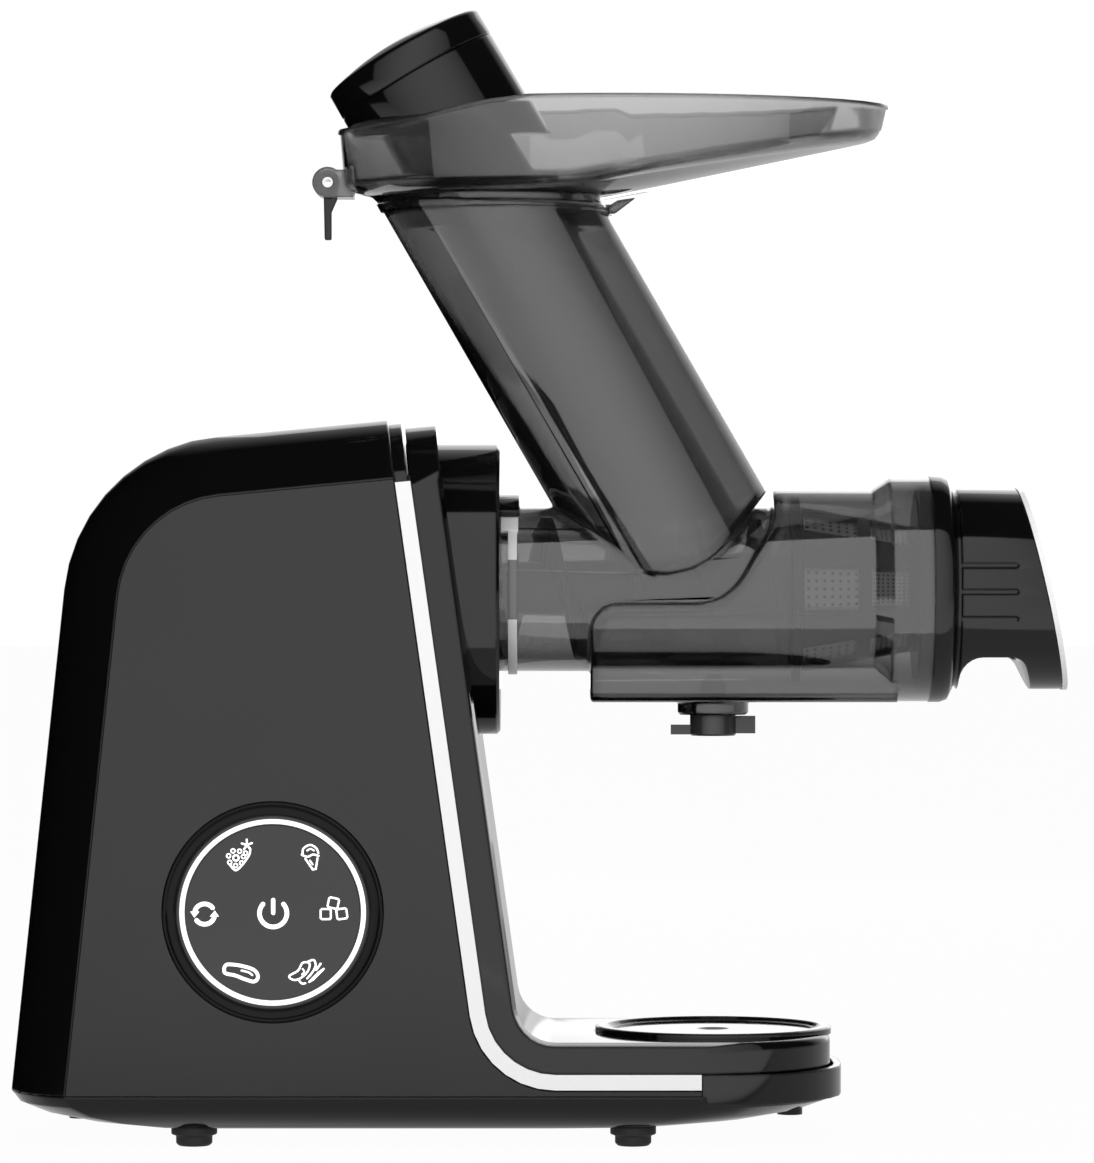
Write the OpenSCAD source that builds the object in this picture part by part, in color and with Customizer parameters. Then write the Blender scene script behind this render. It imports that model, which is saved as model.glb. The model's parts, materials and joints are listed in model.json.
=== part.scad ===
// Horizontal cold press juicer: motor tower with a foot that carries the glass,
// a bayonet drum with a leaning feed chute, an oval hopper and a pulp nozzle.
// The drive runs along +X, the control face looks along -Y, and +Z is up.

/* [Body] */
// Width of the body across its side covers
body_w = 118; // [114:1:122]
// Depth of the body from its back to the foot of its front face
body_depth = 184; // [180:1:196]
// Height of the body's top edge
body_top_z = 260; // [258:1:270]
// Radius of the big curve between back and top
top_corner_r = 62; // [50:1:70]
// Width of the rounding between a side cover and the back and top, seen from the side
edge_r = 22; // [18:1:24]
// Depth of that rounding, across the body
edge_depth = 36.6; // [34:0.1:38]
// Lean of the back, in degrees
back_lean = 6; // [3:0.5:8]
// Rise of the top towards the front, in degrees
top_rise = 5.5; // [3:0.5:8]
// Lean of the front face, in degrees
front_lean = 8; // [6:0.5:9]
// Wall of the moulded covers
wall = 2.6; // [2:0.1:3]

/* [Foot] */
// Height of the top of the foot, where the glass stands
foot_top_z = 38; // [36:1:42]
// Length of the foot in front of the body
foot_len = 116; // [110:1:124]
// Radius of the curve between front face and foot
foot_fillet_r = 14; // [10:1:20]
// Radius of the foot's round nose, seen from above
nose_r = 50; // [40:1:54]
// Height of the seam between covers and base plate
seam_z = 19; // [17:1:20]
// Height of the base plate's underside above the table
under_z = 6.5; // [5:0.5:8]
// Radius of the glass rest
rest_r = 43; // [34:1:45]
// Radius of a rubber foot's tread
foot_r = 6.5; // [5:0.5:8]

/* [Trim] */
// Depth of the front cover, seen from the side
cover_band = 11; // [9:0.5:13]
// Width of the bright trim strip
strip_w = 5.6; // [4:0.2:7]
// Gap between neighbouring covers
seam_gap = 0.3; // [0.2:0.05:0.5]

/* [Control panel] */
// Distance of the panel's centre behind the foot of the front face
panel_back = 88; // [84:1:96]
// Height of the panel's centre
panel_z = 84.5; // [76:0.5:100]
// Outer radius of the panel's bezel
bezel_r = 39.3; // [37:0.1:41]
// Outer radius of the light ring
light_r = 34.4; // [32:0.1:35]
// Radius of the touch glass
touch_r = 31.2; // [29:0.1:31.4]

/* [Drive] */
// Height of the drive axis
axis_z = 199; // [196:1:203]
// Distance from the collar that carries the drum to the body's sides
collar_side = 6.1; // [5.5:0.1:8]
// Length of collar that stands out of the front face, at the axis
collar_out = 14.8; // [14:0.1:18]
// Gear module
gear_m = 1; // [0.95:0.05:1]
// Teeth on the pinions
pinion_teeth = 12; // [12:1:13]
// Teeth on the wheels
wheel_teeth = 54; // [52:1:54]
// Side of the motor's laminated stack
stack_side = 76; // [70:1:78]
// Length of the motor's laminated stack
stack_len = 36; // [30:1:40]
// Radius of the motor's rotor
rotor_r = 19.4; // [16:0.1:20]
// Radius of the motor shaft
shaft_r = 4; // [3:0.1:4]

/* [Drum] */
// Outer radius of the drum's neck
neck_r = 30; // [29:0.1:30.5]
// Outer radius of the drum
drum_r = 36.5; // [36:0.1:38]
// Depth of the sump's floor below the drive axis
sump_drop = 41; // [40:0.5:43]
// Wall of the clear mouldings
clear_wall = 2.4; // [2:0.1:2.6]
// Distance from collar face to chute and spout
chute_out = 77.6; // [76:0.1:82]
// Distance from collar face to the drum's bayonet ring
ring_out = 141.6; // [138:0.1:146]
// Outer radius of the drum's bayonet ring
ring_r = 41; // [40.5:0.1:43]
// Length of the drum's bayonet ring
ring_len = 14.3; // [12:0.1:16]

/* [Feed chute] */
// Lean of the chute from the vertical, in degrees
chute_lean = 30; // [29:0.5:31]
// Outer radius of the chute
chute_r = 35.5; // [35:0.1:36]
// Inner radius of the guide tube that the pusher runs in
guide_r = 20; // [19.5:0.1:21]
// Height of the chute's mouth
mouth_z = 339; // [330:1:345]

/* [Hopper] */
// Length of the hopper
hopper_len = 201.6; // [196:0.1:206]
// Width of the hopper
hopper_w = 122; // [112:1:132]
// Height of the hopper's rim above the chute's mouth
hopper_h = 35.7; // [33:0.1:40]
// Drop of the rim at its low end
rim_dip = 8.7; // [6:0.1:10]
// Wall of the hopper
hopper_wall = 2.2; // [1.8:0.1:2.4]

/* [Pusher] */
// Radius of the pusher's head
head_r = 31.3; // [30:0.1:32]
// Gap between pusher and guide tube
pusher_gap = 1.6; // [1.2:0.1:2]
// Height of the head's rim above the chute's mouth
head_up = 23.7; // [22.5:0.1:25]
// Thickness of the pusher's lid
lid_h = 10.5; // [8:0.5:12]
// Height of the lid's dome
dome_h = 5; // [3:0.5:6]

/* [Pulp nozzle] */
// Length of the nozzle along its lower edge
nozzle_len = 50.4; // [48:0.1:54]
// Slant of the nozzle's face, in degrees
face_slant = 12.7; // [10:0.1:14]
// Length of a grip groove
groove_len = 19; // [14:1:20]
// Width of a grip groove
groove_w = 2.8; // [2.2:0.1:3]

/* [Hidden] */
$fn = 64;

eps = 0.01;
fit = 0.05;            // running clearance of a shaft in its hole
slip = 0.3;            // clearance of pieces that are set in by hand
half_w = body_w / 2;
collar_under = 7;       // the collar stays at least this much under the body's top edge
collar_r = min(half_w - collar_side, body_top_z - axis_z - collar_under);

// Places along X, worked out from the foot of the front face
reach_out = -(axis_z - foot_top_z) * tan(front_lean) + collar_out + ring_out + ring_len
    + nozzle_len;
front_x = (body_depth - reach_out) / 2;
back_x = front_x - body_depth;
tip_x = front_x + reach_out;
nose_x = front_x + foot_len;
top_x = front_x - 49;
collar_x = front_x - (axis_z - foot_top_z) * tan(front_lean) + collar_out;
collar_len = 28.8;
collar_back_x = collar_x - collar_len;
chute_x = collar_x + chute_out;
mouth_x = chute_x - (mouth_z - axis_z) * tan(chute_lean);
ring_x = collar_x + ring_out;
nozzle_x = ring_x + ring_len;
strip_end_x = nose_x - nose_r - 2;
back_out = cover_band + strip_w + seam_gap;    // depth at which the rear housing starts
cover_step = 3.5;                              // front cover lies this much under the top

// ---------------------------------------------------------------- plane geometry

function unit(v) = v / norm(v);
function left_of(v) = [-v[1], v[0]];

// Arc of n + 1 points that rounds the corner b between a and c
function corner(a, b, c, r, n) =
    let (u = unit(a - b), v = unit(c - b), half = acos(max(-1, min(1, u * v))) / 2)
    r <= 0 ? [for (i = [0:n]) b] :
    let (m = b + unit(u + v) * r / sin(half),
        p = b + u * r / tan(half) - m, q = b + v * r / tan(half) - m,
        a0 = atan2(p[1], p[0]), turn = (atan2(q[1], q[0]) - a0 + 540) % 360 - 180)
    [for (i = [0:n]) m + r * [cos(a0 + turn * i / n), sin(a0 + turn * i / n)]];

// A polygon with every corner rounded to its own radius; a radius of 0 keeps the corner
function rounded(pts, radii, n = 6) =
    let (k = len(pts))
    [for (i = [0:k - 1]) each (radii[i] > 0
        ? corner(pts[(i + k - 1) % k], pts[i], pts[(i + 1) % k], radii[i], n)
        : [pts[i]])];

// An anticlockwise polygon moved inwards by d
function inset(pts, d) =
    let (k = len(pts))
    [for (i = [0:k - 1])
        let (m = left_of(unit(pts[i] - pts[(i + k - 1) % k])),
            n = left_of(unit(pts[(i + 1) % k] - pts[i])))
        pts[i] + (m + n) * d / (1 + m * n)];

// The shell's rounding is a shallow arc, which meets the side cover at an angle
round_r = (edge_r * edge_r + edge_depth * edge_depth) / (2 * edge_r);
round_end = asin(edge_depth / round_r);
round_from = half_w - edge_depth;

// How far the shell's rounding, under a skin, has drawn in at distance y from the middle
function edge_in(y, skin = 0) =
    let (t = abs(y) - round_from, r = round_r - skin) t <= 0 ? 0 : r - sqrt(max(0, r * r - t * t));

// How far a quarter round of radius r has drawn in at distance y from the middle
function drawn_in(y, r) =
    let (t = abs(y) - (half_w - r)) t <= 0 ? 0 : r - sqrt(max(0, r * r - t * t));

// ---------------------------------------------------------------- solids

// Skin over rings of equally many points; a band's ends are closed from side to side, any
// other end from the ring's first point
module loft(rings, is_band = false) {
    k = len(rings[0]);
    n = len(rings);
    end = is_band ? [for (j = [0:k / 2 - 2]) each [[j, j + 1, k - 2 - j], [j, k - 2 - j, k - 1 - j]]]
        : [for (j = [1:k - 2]) [0, j, j + 1]];
    polyhedron([for (r = rings) each r], [
        for (f = end) [f[2], f[1], f[0]],
        for (f = end) f + (n - 1) * k * [1, 1, 1],
        for (i = [0:n - 2], j = [0:k - 1]) each [
            [i * k + j, i * k + (j + 1) % k, (i + 1) * k + (j + 1) % k],
            [i * k + j, (i + 1) * k + (j + 1) % k, (i + 1) * k + j]]]);
}

// Skin over rings whose last ring joins the first one, as in a bowl with a hole in it
module loft_loop(rings) {
    k = len(rings[0]);
    n = len(rings);
    polyhedron([for (r = rings) each r],
        [for (i = [0:n - 1], j = [0:k - 1]) let (m = (i + 1) % n) each [
            [i * k + j, m * k + (j + 1) % k, i * k + (j + 1) % k],
            [i * k + j, m * k + j, m * k + (j + 1) % k]]]);
}

// A profile in X and Z, made solid from y0 to y1
module slab(pts, y0, y1) {
    translate([0, y1, 0]) rotate([90, 0, 0]) linear_extrude(y1 - y0) polygon(pts);
}

// A turned piece on the drive axis from points [radius, x]
module turned(pts) {
    translate([0, 0, axis_z]) rotate([0, 90, 0]) rotate_extrude() polygon(pts);
}

module rod_x(x0, x1, r, y = 0, z = axis_z) {
    translate([x0, y, z]) rotate([0, 90, 0]) cylinder(h = x1 - x0, r = r);
}

module tube_x(x0, x1, ro, ri, y = 0, z = axis_z) {
    difference() {
        rod_x(x0, x1, ro, y, z);
        rod_x(x0 - 1, x1 + 1, ri, y, z);
    }
}

module box(lo, hi) { translate(lo) cube(hi - lo); }

// Moves its children onto the chute, whose own Z then runs up the chute
module on_chute() { translate([chute_x, 0, axis_z]) rotate([0, -chute_lean, 0]) children(); }

// What of its children lies between two heights
module between(z0, z1) {
    intersection() {
        children();
        box([-300, -150, z0], [300, 150, z1]);
    }
}

// ---------------------------------------------------------------- outlines of the body

function back_at(z, d) = back_x + (z - seam_z) * tan(back_lean) + d / cos(back_lean);
function front_at(z, p) =
    front_x - (z - foot_top_z) * tan(front_lean) - p / cos(front_lean);

// Where the top line, lowered by d, meets the back line moved in by d
function top_back(d) =
    let (tb = tan(back_lean), tt = tan(top_rise),
        z = (body_top_z + (back_x - seam_z * tb + d / cos(back_lean) - top_x) * tt
            - d / cos(top_rise)) / (1 - tb * tt))
    [back_at(z, d), z];

// Where the top line, lowered by d, meets the front line moved in by p
function top_front(d, p) =
    let (tf = tan(front_lean), tt = tan(top_rise),
        x0 = front_x - p / cos(front_lean) + foot_top_z * tf,
        z = (body_top_z + (x0 - top_x) * tt - d / cos(top_rise)) / (1 + tf * tt))
    [front_at(z, p), z];

// Where the front line and the foot's top, both moved in by p, meet
function heel(p) = [front_at(foot_top_z - p, p), foot_top_z - p];

// Body behind the front line moved in by p, drawn in by d at back and top
function tower(d, p, x_end, z0 = seam_z) = rounded(
    [[back_at(z0, d), z0], [x_end, z0], [x_end, foot_top_z - p], heel(p),
        top_front(d, p), top_back(d)],
    [0, 0, 0, foot_fillet_r + p, 0, max(8, top_corner_r - d)], 9);

// Band of depth p0 to p1 along the front face and the foot's top, up to x_end
function band(d, p0, p1, x_end, end_r = 0) = rounded(
    [[x_end, foot_top_z - p0], heel(p0), top_front(d, p0), top_front(d, p1), heel(p1),
        [x_end, foot_top_z - p1]],
    [end_r, foot_fillet_r + p0, 0, 0, foot_fillet_r + p1, end_r > 0 ? 0.3 : 0], 7);

// X of the foot's nose at distance y from the middle, drawn in by d
function nose_at(y, d) = nose_x - d - drawn_in(y, nose_r);

// Outline of the foot and body seen from above, drawn in by side, back and nose
function plan(side, back, nose) =
    let (w = half_w - side,
        behind = [for (i = [6:-1:0]) let (y = round_from + (w - round_from) * sin(15 * i))
            [back_x + back + edge_in(y, side), y]],
        front = rounded([[back_x, -w], [nose_x - nose, -w], [nose_x - nose, w], [back_x, w]],
            [0, nose_r - side, nose_r - side, 0], 7))
    [for (i = [6:-1:0]) [behind[i][0], -behind[i][1]], for (i = [1:len(front) - 2]) front[i],
        each behind];

function ring_at(y, pts) = [for (q = pts) [q[0], y, q[1]]];
function mirrored_steps(steps) = [for (i = [len(steps) - 1:-1:0]) -steps[i], for (s = steps) s];

// ---------------------------------------------------------------- body

// Depths across the body at which the housing's rings stand
edge_steps = [for (i = [0:6]) round_from + round_r * sin(round_end * i / 6)];
inner_w = half_w - wall;
ledge = 4;
flange_y = inner_w - 2.5;    // where the flange behind a side cover starts
rim_gap = 0.2;

module rear_housing() {
    outer = mirrored_steps(edge_steps);
    inner = mirrored_steps([for (a = [0:18:90]) round_from + (flange_y - round_from) * sin(a),
        flange_y + eps, inner_w]);
    // ribs that tie the rear screw posts to the back
    rib_z0 = seam_z + 3;
    rib_z1 = seam_z + 18;
    rib_in = wall / 2 + edge_in(rear_post_y + 1.2);
    cavity_in = function (y) abs(y) > flange_y + eps / 2 ? edge_r + ledge
        : wall + edge_in(y, wall);
    color([0.02, 0.02, 0.02]) {
        difference() {
            loft([for (y = outer) ring_at(y, tower(edge_in(y), back_out, strip_end_x))]);
            loft([for (y = inner) ring_at(y, tower(cavity_in(y), back_out + wall,
                strip_end_x + 5, seam_z - 1))]);
            for (s = [-1, 1])
                slab(tower(edge_r + rim_gap, back_out - 1, strip_end_x + 1, seam_z - 1),
                    s > 0 ? inner_w - eps : -half_w - 1, s > 0 ? half_w + 1 : -inner_w + eps);
            rod_x(front_at(axis_z, back_out + wall) - 12, front_at(axis_z, 0), collar_r + slip);
            for (p = nose_posts) translate([p[0], p[1], seam_z - 1])
                cylinder(h = foot_top_z - seam_z, r = 4 + slip);
            box([front_at(axis_z, back_out + wall) - 8, -case_half_w - 1, axis_z - case_drop - 2],
                [front_at(axis_z, 0), case_half_w + 1, axis_z]);
            rod_x(back_x - 5, back_x + 20, gland_r + slip / 2, 0, gland_z);
        }
        for (s = [-1, 1]) difference() {
            union() {
                translate([rear_post_x, s * rear_post_y, seam_z]) cylinder(h = 20, r = 4);
                slab([[back_at(rib_z0, rib_in), rib_z0], [rear_post_x, rib_z0],
                    [rear_post_x, rib_z1], [back_at(rib_z1, rib_in), rib_z1]],
                    s * rear_post_y - 1.2, s * rear_post_y + 1.2);
            }
            translate([rear_post_x, s * rear_post_y, seam_z - 1]) cylinder(h = 13, r = 1.5);
        }
    }
}

lip_r = 3;
cover_steps = [for (i = [0:2]) round_from * i / 3, for (i = [0:5]) edge_steps[i],
    half_w - lip_r + lip_r * sin(60), half_w];

carrier_steps = [for (i = [0:5]) edge_steps[i], half_w - wall + slip];

// Dark frame between the covers, into whose sides the trim strips are set
module trim_carrier() {
    color([0.02, 0.02, 0.02]) difference() {
        loft([for (y = mirrored_steps(carrier_steps)) ring_at(y, band(edge_in(y) + 1.6,
            cover_band + 1.1, cover_band + strip_w, strip_end_x))], true);
        slab(band(edge_r + 3, cover_band, back_out + 1, strip_end_x - 3),
            -half_w + 2 * wall, half_w - 2 * wall);
        rod_x(front_at(axis_z, back_out) - 20, collar_x + 30, collar_r + slip / 2);
    }
}

module front_cover() {
    rings = [for (y = mirrored_steps([for (i = [1:len(cover_steps) - 1]) cover_steps[i]]))
        ring_at(y, band(edge_in(y) + cover_step, drawn_in(y, lip_r), cover_band,
            nose_at(y, 4), 3))];
    color([0.02, 0.02, 0.02]) {
        difference() {
            union() {
                loft(rings, true);
                slab(band(edge_r - 1, cover_band - 0.05, cover_band + 1.05, strip_end_x),
                    -half_w + wall + 2.4, half_w - wall - 2.4);
            }
            slab(band(edge_r + 3, wall, back_out + 1, strip_end_x - 3),
                -half_w + 2 * wall, half_w - 2 * wall);
            translate([0, 0, foot_top_z - back_out - 1])
                linear_extrude(back_out + 1 - wall) intersection() {
                    polygon(plan(2 * wall, 0, 4 + 2 * wall));
                    translate([strip_end_x - 8, -half_w]) square([nose_r + 10, body_w]);
                }
            rod_x(front_at(axis_z, back_out) - 20, collar_x + 30, collar_r + slip / 2);
            translate([chute_x, 0, foot_top_z - 0.8]) cylinder(h = 5, r = rest_r + slip / 2);
        }
        for (p = nose_posts) difference() {
            translate([p[0], p[1], seam_z]) cylinder(h = foot_top_z - wall - seam_z, r = 4);
            translate([p[0], p[1], seam_z - 1]) cylinder(h = 13, r = 1.5);
        }
    }
}

module side_cover(s, panel) {
    y0 = s > 0 ? inner_w + eps : -half_w;
    difference() {
        union() {
            slab(tower(edge_r + rim_gap + seam_gap, back_out + seam_gap, strip_end_x,
                seam_z + seam_gap),
                y0, y0 + wall - eps);
            if (panel) for (a = [30:120:270])
                translate([panel_x + board_post_r * cos(a), -inner_w + 4, panel_z
                    + board_post_r * sin(a)]) rotate([90, 0, 0]) cylinder(h = 5, r = 2.4);
        }
        if (panel) translate([panel_x, -half_w + 20, panel_z]) rotate([90, 0, 0])
            cylinder(h = 30, r = bezel_r + slip / 2);
    }
}

module control_side_cover() { color([0.055, 0.055, 0.055]) side_cover(-1, true); }
module plain_side_cover() { color([0.055, 0.055, 0.055]) side_cover(1, false); }

module trim_strip(s) {
    pts = band(edge_r + 1.5, cover_band + seam_gap / 2, cover_band + strip_w, strip_end_x);
    y0 = s > 0 ? inner_w + slip : -half_w - 0.2;
    color([0.8, 0.8, 0.82]) slab(pts, y0, y0 + wall - slip + 0.2);
}

// ---------------------------------------------------------------- foot and base

foot_back_x = back_x + 67;
foot_front_x = front_x + 40;
foot_y = half_w - 19;
foot_places = [[foot_back_x, -foot_y], [foot_back_x, foot_y], [foot_front_x, -foot_y],
    [foot_front_x, foot_y]];
foot_seat_z = under_z + 1;
foot_peg_h = 5;
foot_peg_r = 2.5;
rear_post_x = back_x + 26;
rear_post_y = foot_y - 10;
side_post_y = half_w - 14;
nose_post_in = 19;
nose_post_y = 17;
nose_posts = [for (s = [-1, 1]) [strip_end_x - 30, s * side_post_y],
    for (s = [-1, 1]) [nose_x - nose_post_in, s * nose_post_y]];
screw_places = [[rear_post_x, -rear_post_y], [rear_post_x, rear_post_y], each nose_posts];
screw_head_r = 3;

// Underside that curves up to the seam, drawn in by t at its walls
module hull_shape(t, z_top) {
    rise = seam_z - under_z - t;
    hull() for (a = [0:18:90])
        translate([0, 0, seam_z - rise * sin(a) + (a == 0 ? z_top - seam_z - eps : 0)])
            linear_extrude(eps) polygon(plan(t + 14 * (1 - cos(a)),
                t + 62 * (1 - cos(a)), t + 70 * (1 - cos(a))));
}

module base_plate() {
    color([0.03, 0.03, 0.03]) {
        difference() {
            union() {
                difference() {
                    hull_shape(0, seam_z);
                    hull_shape(wall, seam_z + 1);
                }
                for (p = foot_places)
                    translate([p[0], p[1], foot_seat_z]) cylinder(h = foot_peg_h + 1.5, r = foot_r + 4);
                for (p = screw_places)
                    translate([p[0], p[1], under_z + 2.5]) cylinder(h = seam_z - under_z - 2.6, r = 4.6);
                // low rim round the nose, in line with the trim strips
                difference() {
                    translate([0, 0, seam_z - 3]) linear_extrude(foot_top_z - cover_band - seam_z
                        + 3 - seam_gap) difference() {
                        polygon(plan(0, 0, 0));
                        polygon(plan(wall, 0, wall));
                        translate([back_x - 1, -half_w - 1])
                            square([strip_end_x + seam_gap - back_x + 1, body_w + 2]);
                    }
                }
                for (p = board_places)
                    translate([p[0], p[1], under_z + 2]) cylinder(h = board_z - under_z - 2, r = 3);
            }
            for (p = foot_places) {
                translate([p[0], p[1], -1]) cylinder(h = foot_seat_z + 1, r = foot_r + 2);
                translate([p[0], p[1], 0])
                    cylinder(h = foot_seat_z + foot_peg_h + slip, r = foot_peg_r + 0.1);
            }
            for (p = screw_places) {
                translate([p[0], p[1], -1]) cylinder(h = seam_z - 2, r = screw_head_r + 0.4);
                translate([p[0], p[1], 0]) cylinder(h = seam_z + 5, r = 1.8);
            }
            for (i = [-4:4])
                box([motor_mid_x - 22, i * 6 - 1.2, 0], [motor_mid_x + 22, i * 6 + 1.2, under_z + 6]);
        }
    }
}

module rubber_foot(p) {
    color([0.01, 0.01, 0.01]) translate([p[0], p[1], 0]) rotate_extrude() polygon([
        [0, 0], [foot_r - 1, 0], [foot_r, 1], [foot_r, 3.6], [foot_r + 1.7, 4.2],
        [foot_r + 1.7, foot_seat_z - 0.5], [foot_r + 1.2, foot_seat_z], [foot_peg_r, foot_seat_z],
        [foot_peg_r, foot_seat_z + foot_peg_h], [0, foot_seat_z + foot_peg_h]]);
}

module base_screws() {
    color([0.6, 0.6, 0.62]) for (p = screw_places) translate([p[0], p[1], seam_z - 3])
        rotate_extrude() polygon([[0, -2.2], [screw_head_r - 0.8, -2.2], [screw_head_r, -1.2],
            [screw_head_r, 0], [1.4, 0], [1.4, 11], [0, 12]]);
}

module glass_rest() {
    color([0.02, 0.02, 0.02]) translate([chute_x, 0, foot_top_z - 0.8]) rotate_extrude() polygon([
        [0, 0], [rest_r, 0], [rest_r, 2.2], [rest_r - 1, 2.8], [rest_r - 4, 2.8],
        [rest_r - 5.5, 1.4], [6, 1.4], [5, 0.9], [0, 0.9]]);
}

gland_z = seam_z + 16;
gland_r = 5.8;
cable_r = 3.5;
module cord_gland() {
    x0 = back_at(gland_z, 0) - 0.2;
    x1 = back_at(gland_z + 9, wall) + 0.3;
    color([0.01, 0.01, 0.01]) difference() {
        union() {
            rod_x(x0, x1 + 6, gland_r, 0, gland_z);
            rod_x(x1, x1 + 2.5, gland_r + 2.5, 0, gland_z);
        }
        rod_x(x0 - 1, x1 + 7, cable_r, 0, gland_z);
    }
}

// ---------------------------------------------------------------- control panel

panel_x = front_x - panel_back;
board_post_r = bezel_r + 6;
module on_panel() { translate([panel_x, -half_w, panel_z]) rotate([90, 0, 0]) children(); }

module panel_bezel() {
    color([0.01, 0.01, 0.01]) on_panel() rotate_extrude() polygon([[light_r + 0.2, -wall],
        [bezel_r, -wall], [bezel_r, 0.2], [bezel_r - 0.5, 0.7], [bezel_r - 1.2, 0.7],
        [bezel_r - 1.8, 0], [light_r + 0.9, -0.5], [light_r + 0.2, 0.1]]);
}

module panel_light_ring() {
    color([1, 1, 1]) on_panel() rotate_extrude() polygon([[touch_r + 0.15, -wall],
        [light_r, -wall], [light_r, 0.1], [light_r - 0.4, 0.4], [touch_r + 0.5, 0.4],
        [touch_r + 0.15, 0.1]]);
}

module touch_glass() {
    color([0.05, 0.05, 0.05]) on_panel() rotate_extrude() polygon([[0, -wall],
        [touch_r, -wall], [touch_r, 0], [touch_r - 0.4, 0.3], [0, 0.3]]);
}

module control_board() {
    color([0.05, 0.25, 0.12]) {
        on_panel() translate([0, 0, -wall - 0.1 - 1.6]) difference() {
            cylinder(h = 1.6, r = bezel_r + 1);
            translate([0, 0, -1]) cylinder(h = 4, r = 3);
        }
        on_panel() translate([0, 0, -wall - 1.7 - 1.6]) difference() {
            cylinder(h = 1.6 + eps, r = bezel_r + 9);
            for (a = [30:120:270]) translate([board_post_r * cos(a), board_post_r * sin(a), -1])
                cylinder(h = 5, r = 2.4 + 0.2);
        }
        on_panel() for (i = [-1, 1]) translate([i * 15 - 5, -6, -wall - 6.3]) cube([10, 12, 3.1]);
    }
}

board_z = under_z + 16;
board_len = 88;
board_half = half_w - 19;
board_t = 1.6;
board_x0 = back_x + 39;
board_places = [for (x = [board_x0 + 5, board_x0 + board_len - 5], s = [-1, 1])
    [x, s * (board_half - 6)]];
can_r = 7;
can_h = 22;
choke_len = 30;
choke_w = 20;
sink_len = 22;
sink_w = 28;
fin_t = 2;
module power_board() {
    z = board_z + board_t - eps;
    sink_x = board_x0 + 53;
    color([0.05, 0.25, 0.12]) difference() {
        box([board_x0, -board_half, board_z], [board_x0 + board_len, board_half, board_z + board_t]);
        for (p = board_places) translate([p[0], p[1], board_z - 1]) cylinder(h = board_t + 2, r = 1.6);
    }
    color([0.1, 0.1, 0.12]) {
        for (i = [0:2]) translate([board_x0 + 19 + i * (2 * can_r + 3), -board_half / 2, z])
            cylinder(h = can_h, r = can_r);
        box([board_x0 + 13, 6, z], [board_x0 + 13 + choke_len, 6 + choke_w, z + can_h - 2]);
        for (i = [0:5]) box([sink_x + i * 2 * fin_t, 2, z],
            [sink_x + (2 * i + 1) * fin_t, 2 + sink_w, z + can_h + 3]);
        box([sink_x, 2, z], [sink_x + sink_len, 2 + sink_w, z + 2.5]);
    }
}

// ---------------------------------------------------------------- collar

socket_r = neck_r + slip;
socket_wall = 1.2;
boss_r = 15.5;
button_r0 = socket_r + socket_wall + 0.4;
button_r1 = button_r0 + 2.6;
button_arc = 35;
button_out = 6.9;

// Sector of a ring about the drive axis, a degrees each way from straight up
module arc_block(x0, x1, r0, r1, a) {
    intersection() {
        tube_x(x0, x1, r1, r0);
        slab_fan(x0 - 1, x1 + 1, 3 * r1, a);
    }
}

module slab_fan(x0, x1, r, a) {
    translate([x0, 0, axis_z]) rotate([90, 0, 90]) linear_extrude(x1 - x0)
        polygon([[0, 0], [r * sin(a), r * cos(a)], [0, 2 * r], [-r * sin(a), r * cos(a)]]);
}

module drum_collar() {
    face = 3;
    color([0.015, 0.015, 0.015]) {
        difference() {
            turned([[socket_r, collar_x], [collar_r - 1.2, collar_x], [collar_r, collar_x - 1.2],
                [collar_r, collar_back_x + 1], [collar_r - wall, collar_back_x + 1],
                [collar_r - wall, collar_x - face],
                [socket_r + socket_wall, collar_x - face],
                [socket_r + socket_wall, collar_back_x + 3], [collar_r - 4, collar_back_x + 3],
                [collar_r - 4, collar_back_x], [boss_r + 0.2, collar_back_x],
                [boss_r + 0.2, collar_back_x + 3], [socket_r, collar_back_x + 3]]);
            arc_block(collar_x - face - 1, collar_x + 1, button_r0 - 0.3, button_r1 + 0.3,
                button_arc + 1);
        }
        // ribs that tie the outer wall to the back plate
        for (a = [60:60:300]) intersection() {
            tube_x(collar_back_x, collar_x - face + eps, collar_r - 1, socket_r + socket_wall - 0.5);
            translate([0, 0, axis_z]) rotate([a, 0, 0])
                box([collar_back_x, -1.2, 30], [collar_x, 1.2, 60]);
        }
    }
}

module release_button() {
    stop_x = collar_x - 3 - 0.3;
    color([0.01, 0.01, 0.01]) {
        arc_block(stop_x - eps, collar_x + button_out, button_r0, button_r1, button_arc);
        arc_block(stop_x - 2.5, stop_x, button_r0, button_r1 + 5, 16);
        rod_x(stop_x - 6, stop_x - 2.5 + eps, 1.4, 0, axis_z + spring_up);
    }
}

spring_up = button_r1 + 2;
spring_wire = 0.4;
module button_spring() {
    x1 = collar_x - 3 - 0.3 - 2.5 - 0.05 - spring_wire;
    x0 = collar_back_x + 3 + 0.05 + spring_wire;
    turns = 6;
    sides = 6;
    steps = 14 * turns;
    coil_r = 2.4;
    color([0.7, 0.7, 0.72]) loft([for (i = [0:steps])
        let (a = 360 * turns * i / steps, x = x0 + (x1 - x0) * i / steps)
        [for (j = [0:sides - 1]) let (b = 360 * j / sides, r = coil_r + spring_wire * cos(b))
            [x + spring_wire * sin(b), r * cos(a), axis_z + spring_up + r * sin(a)]]]);
}

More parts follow.
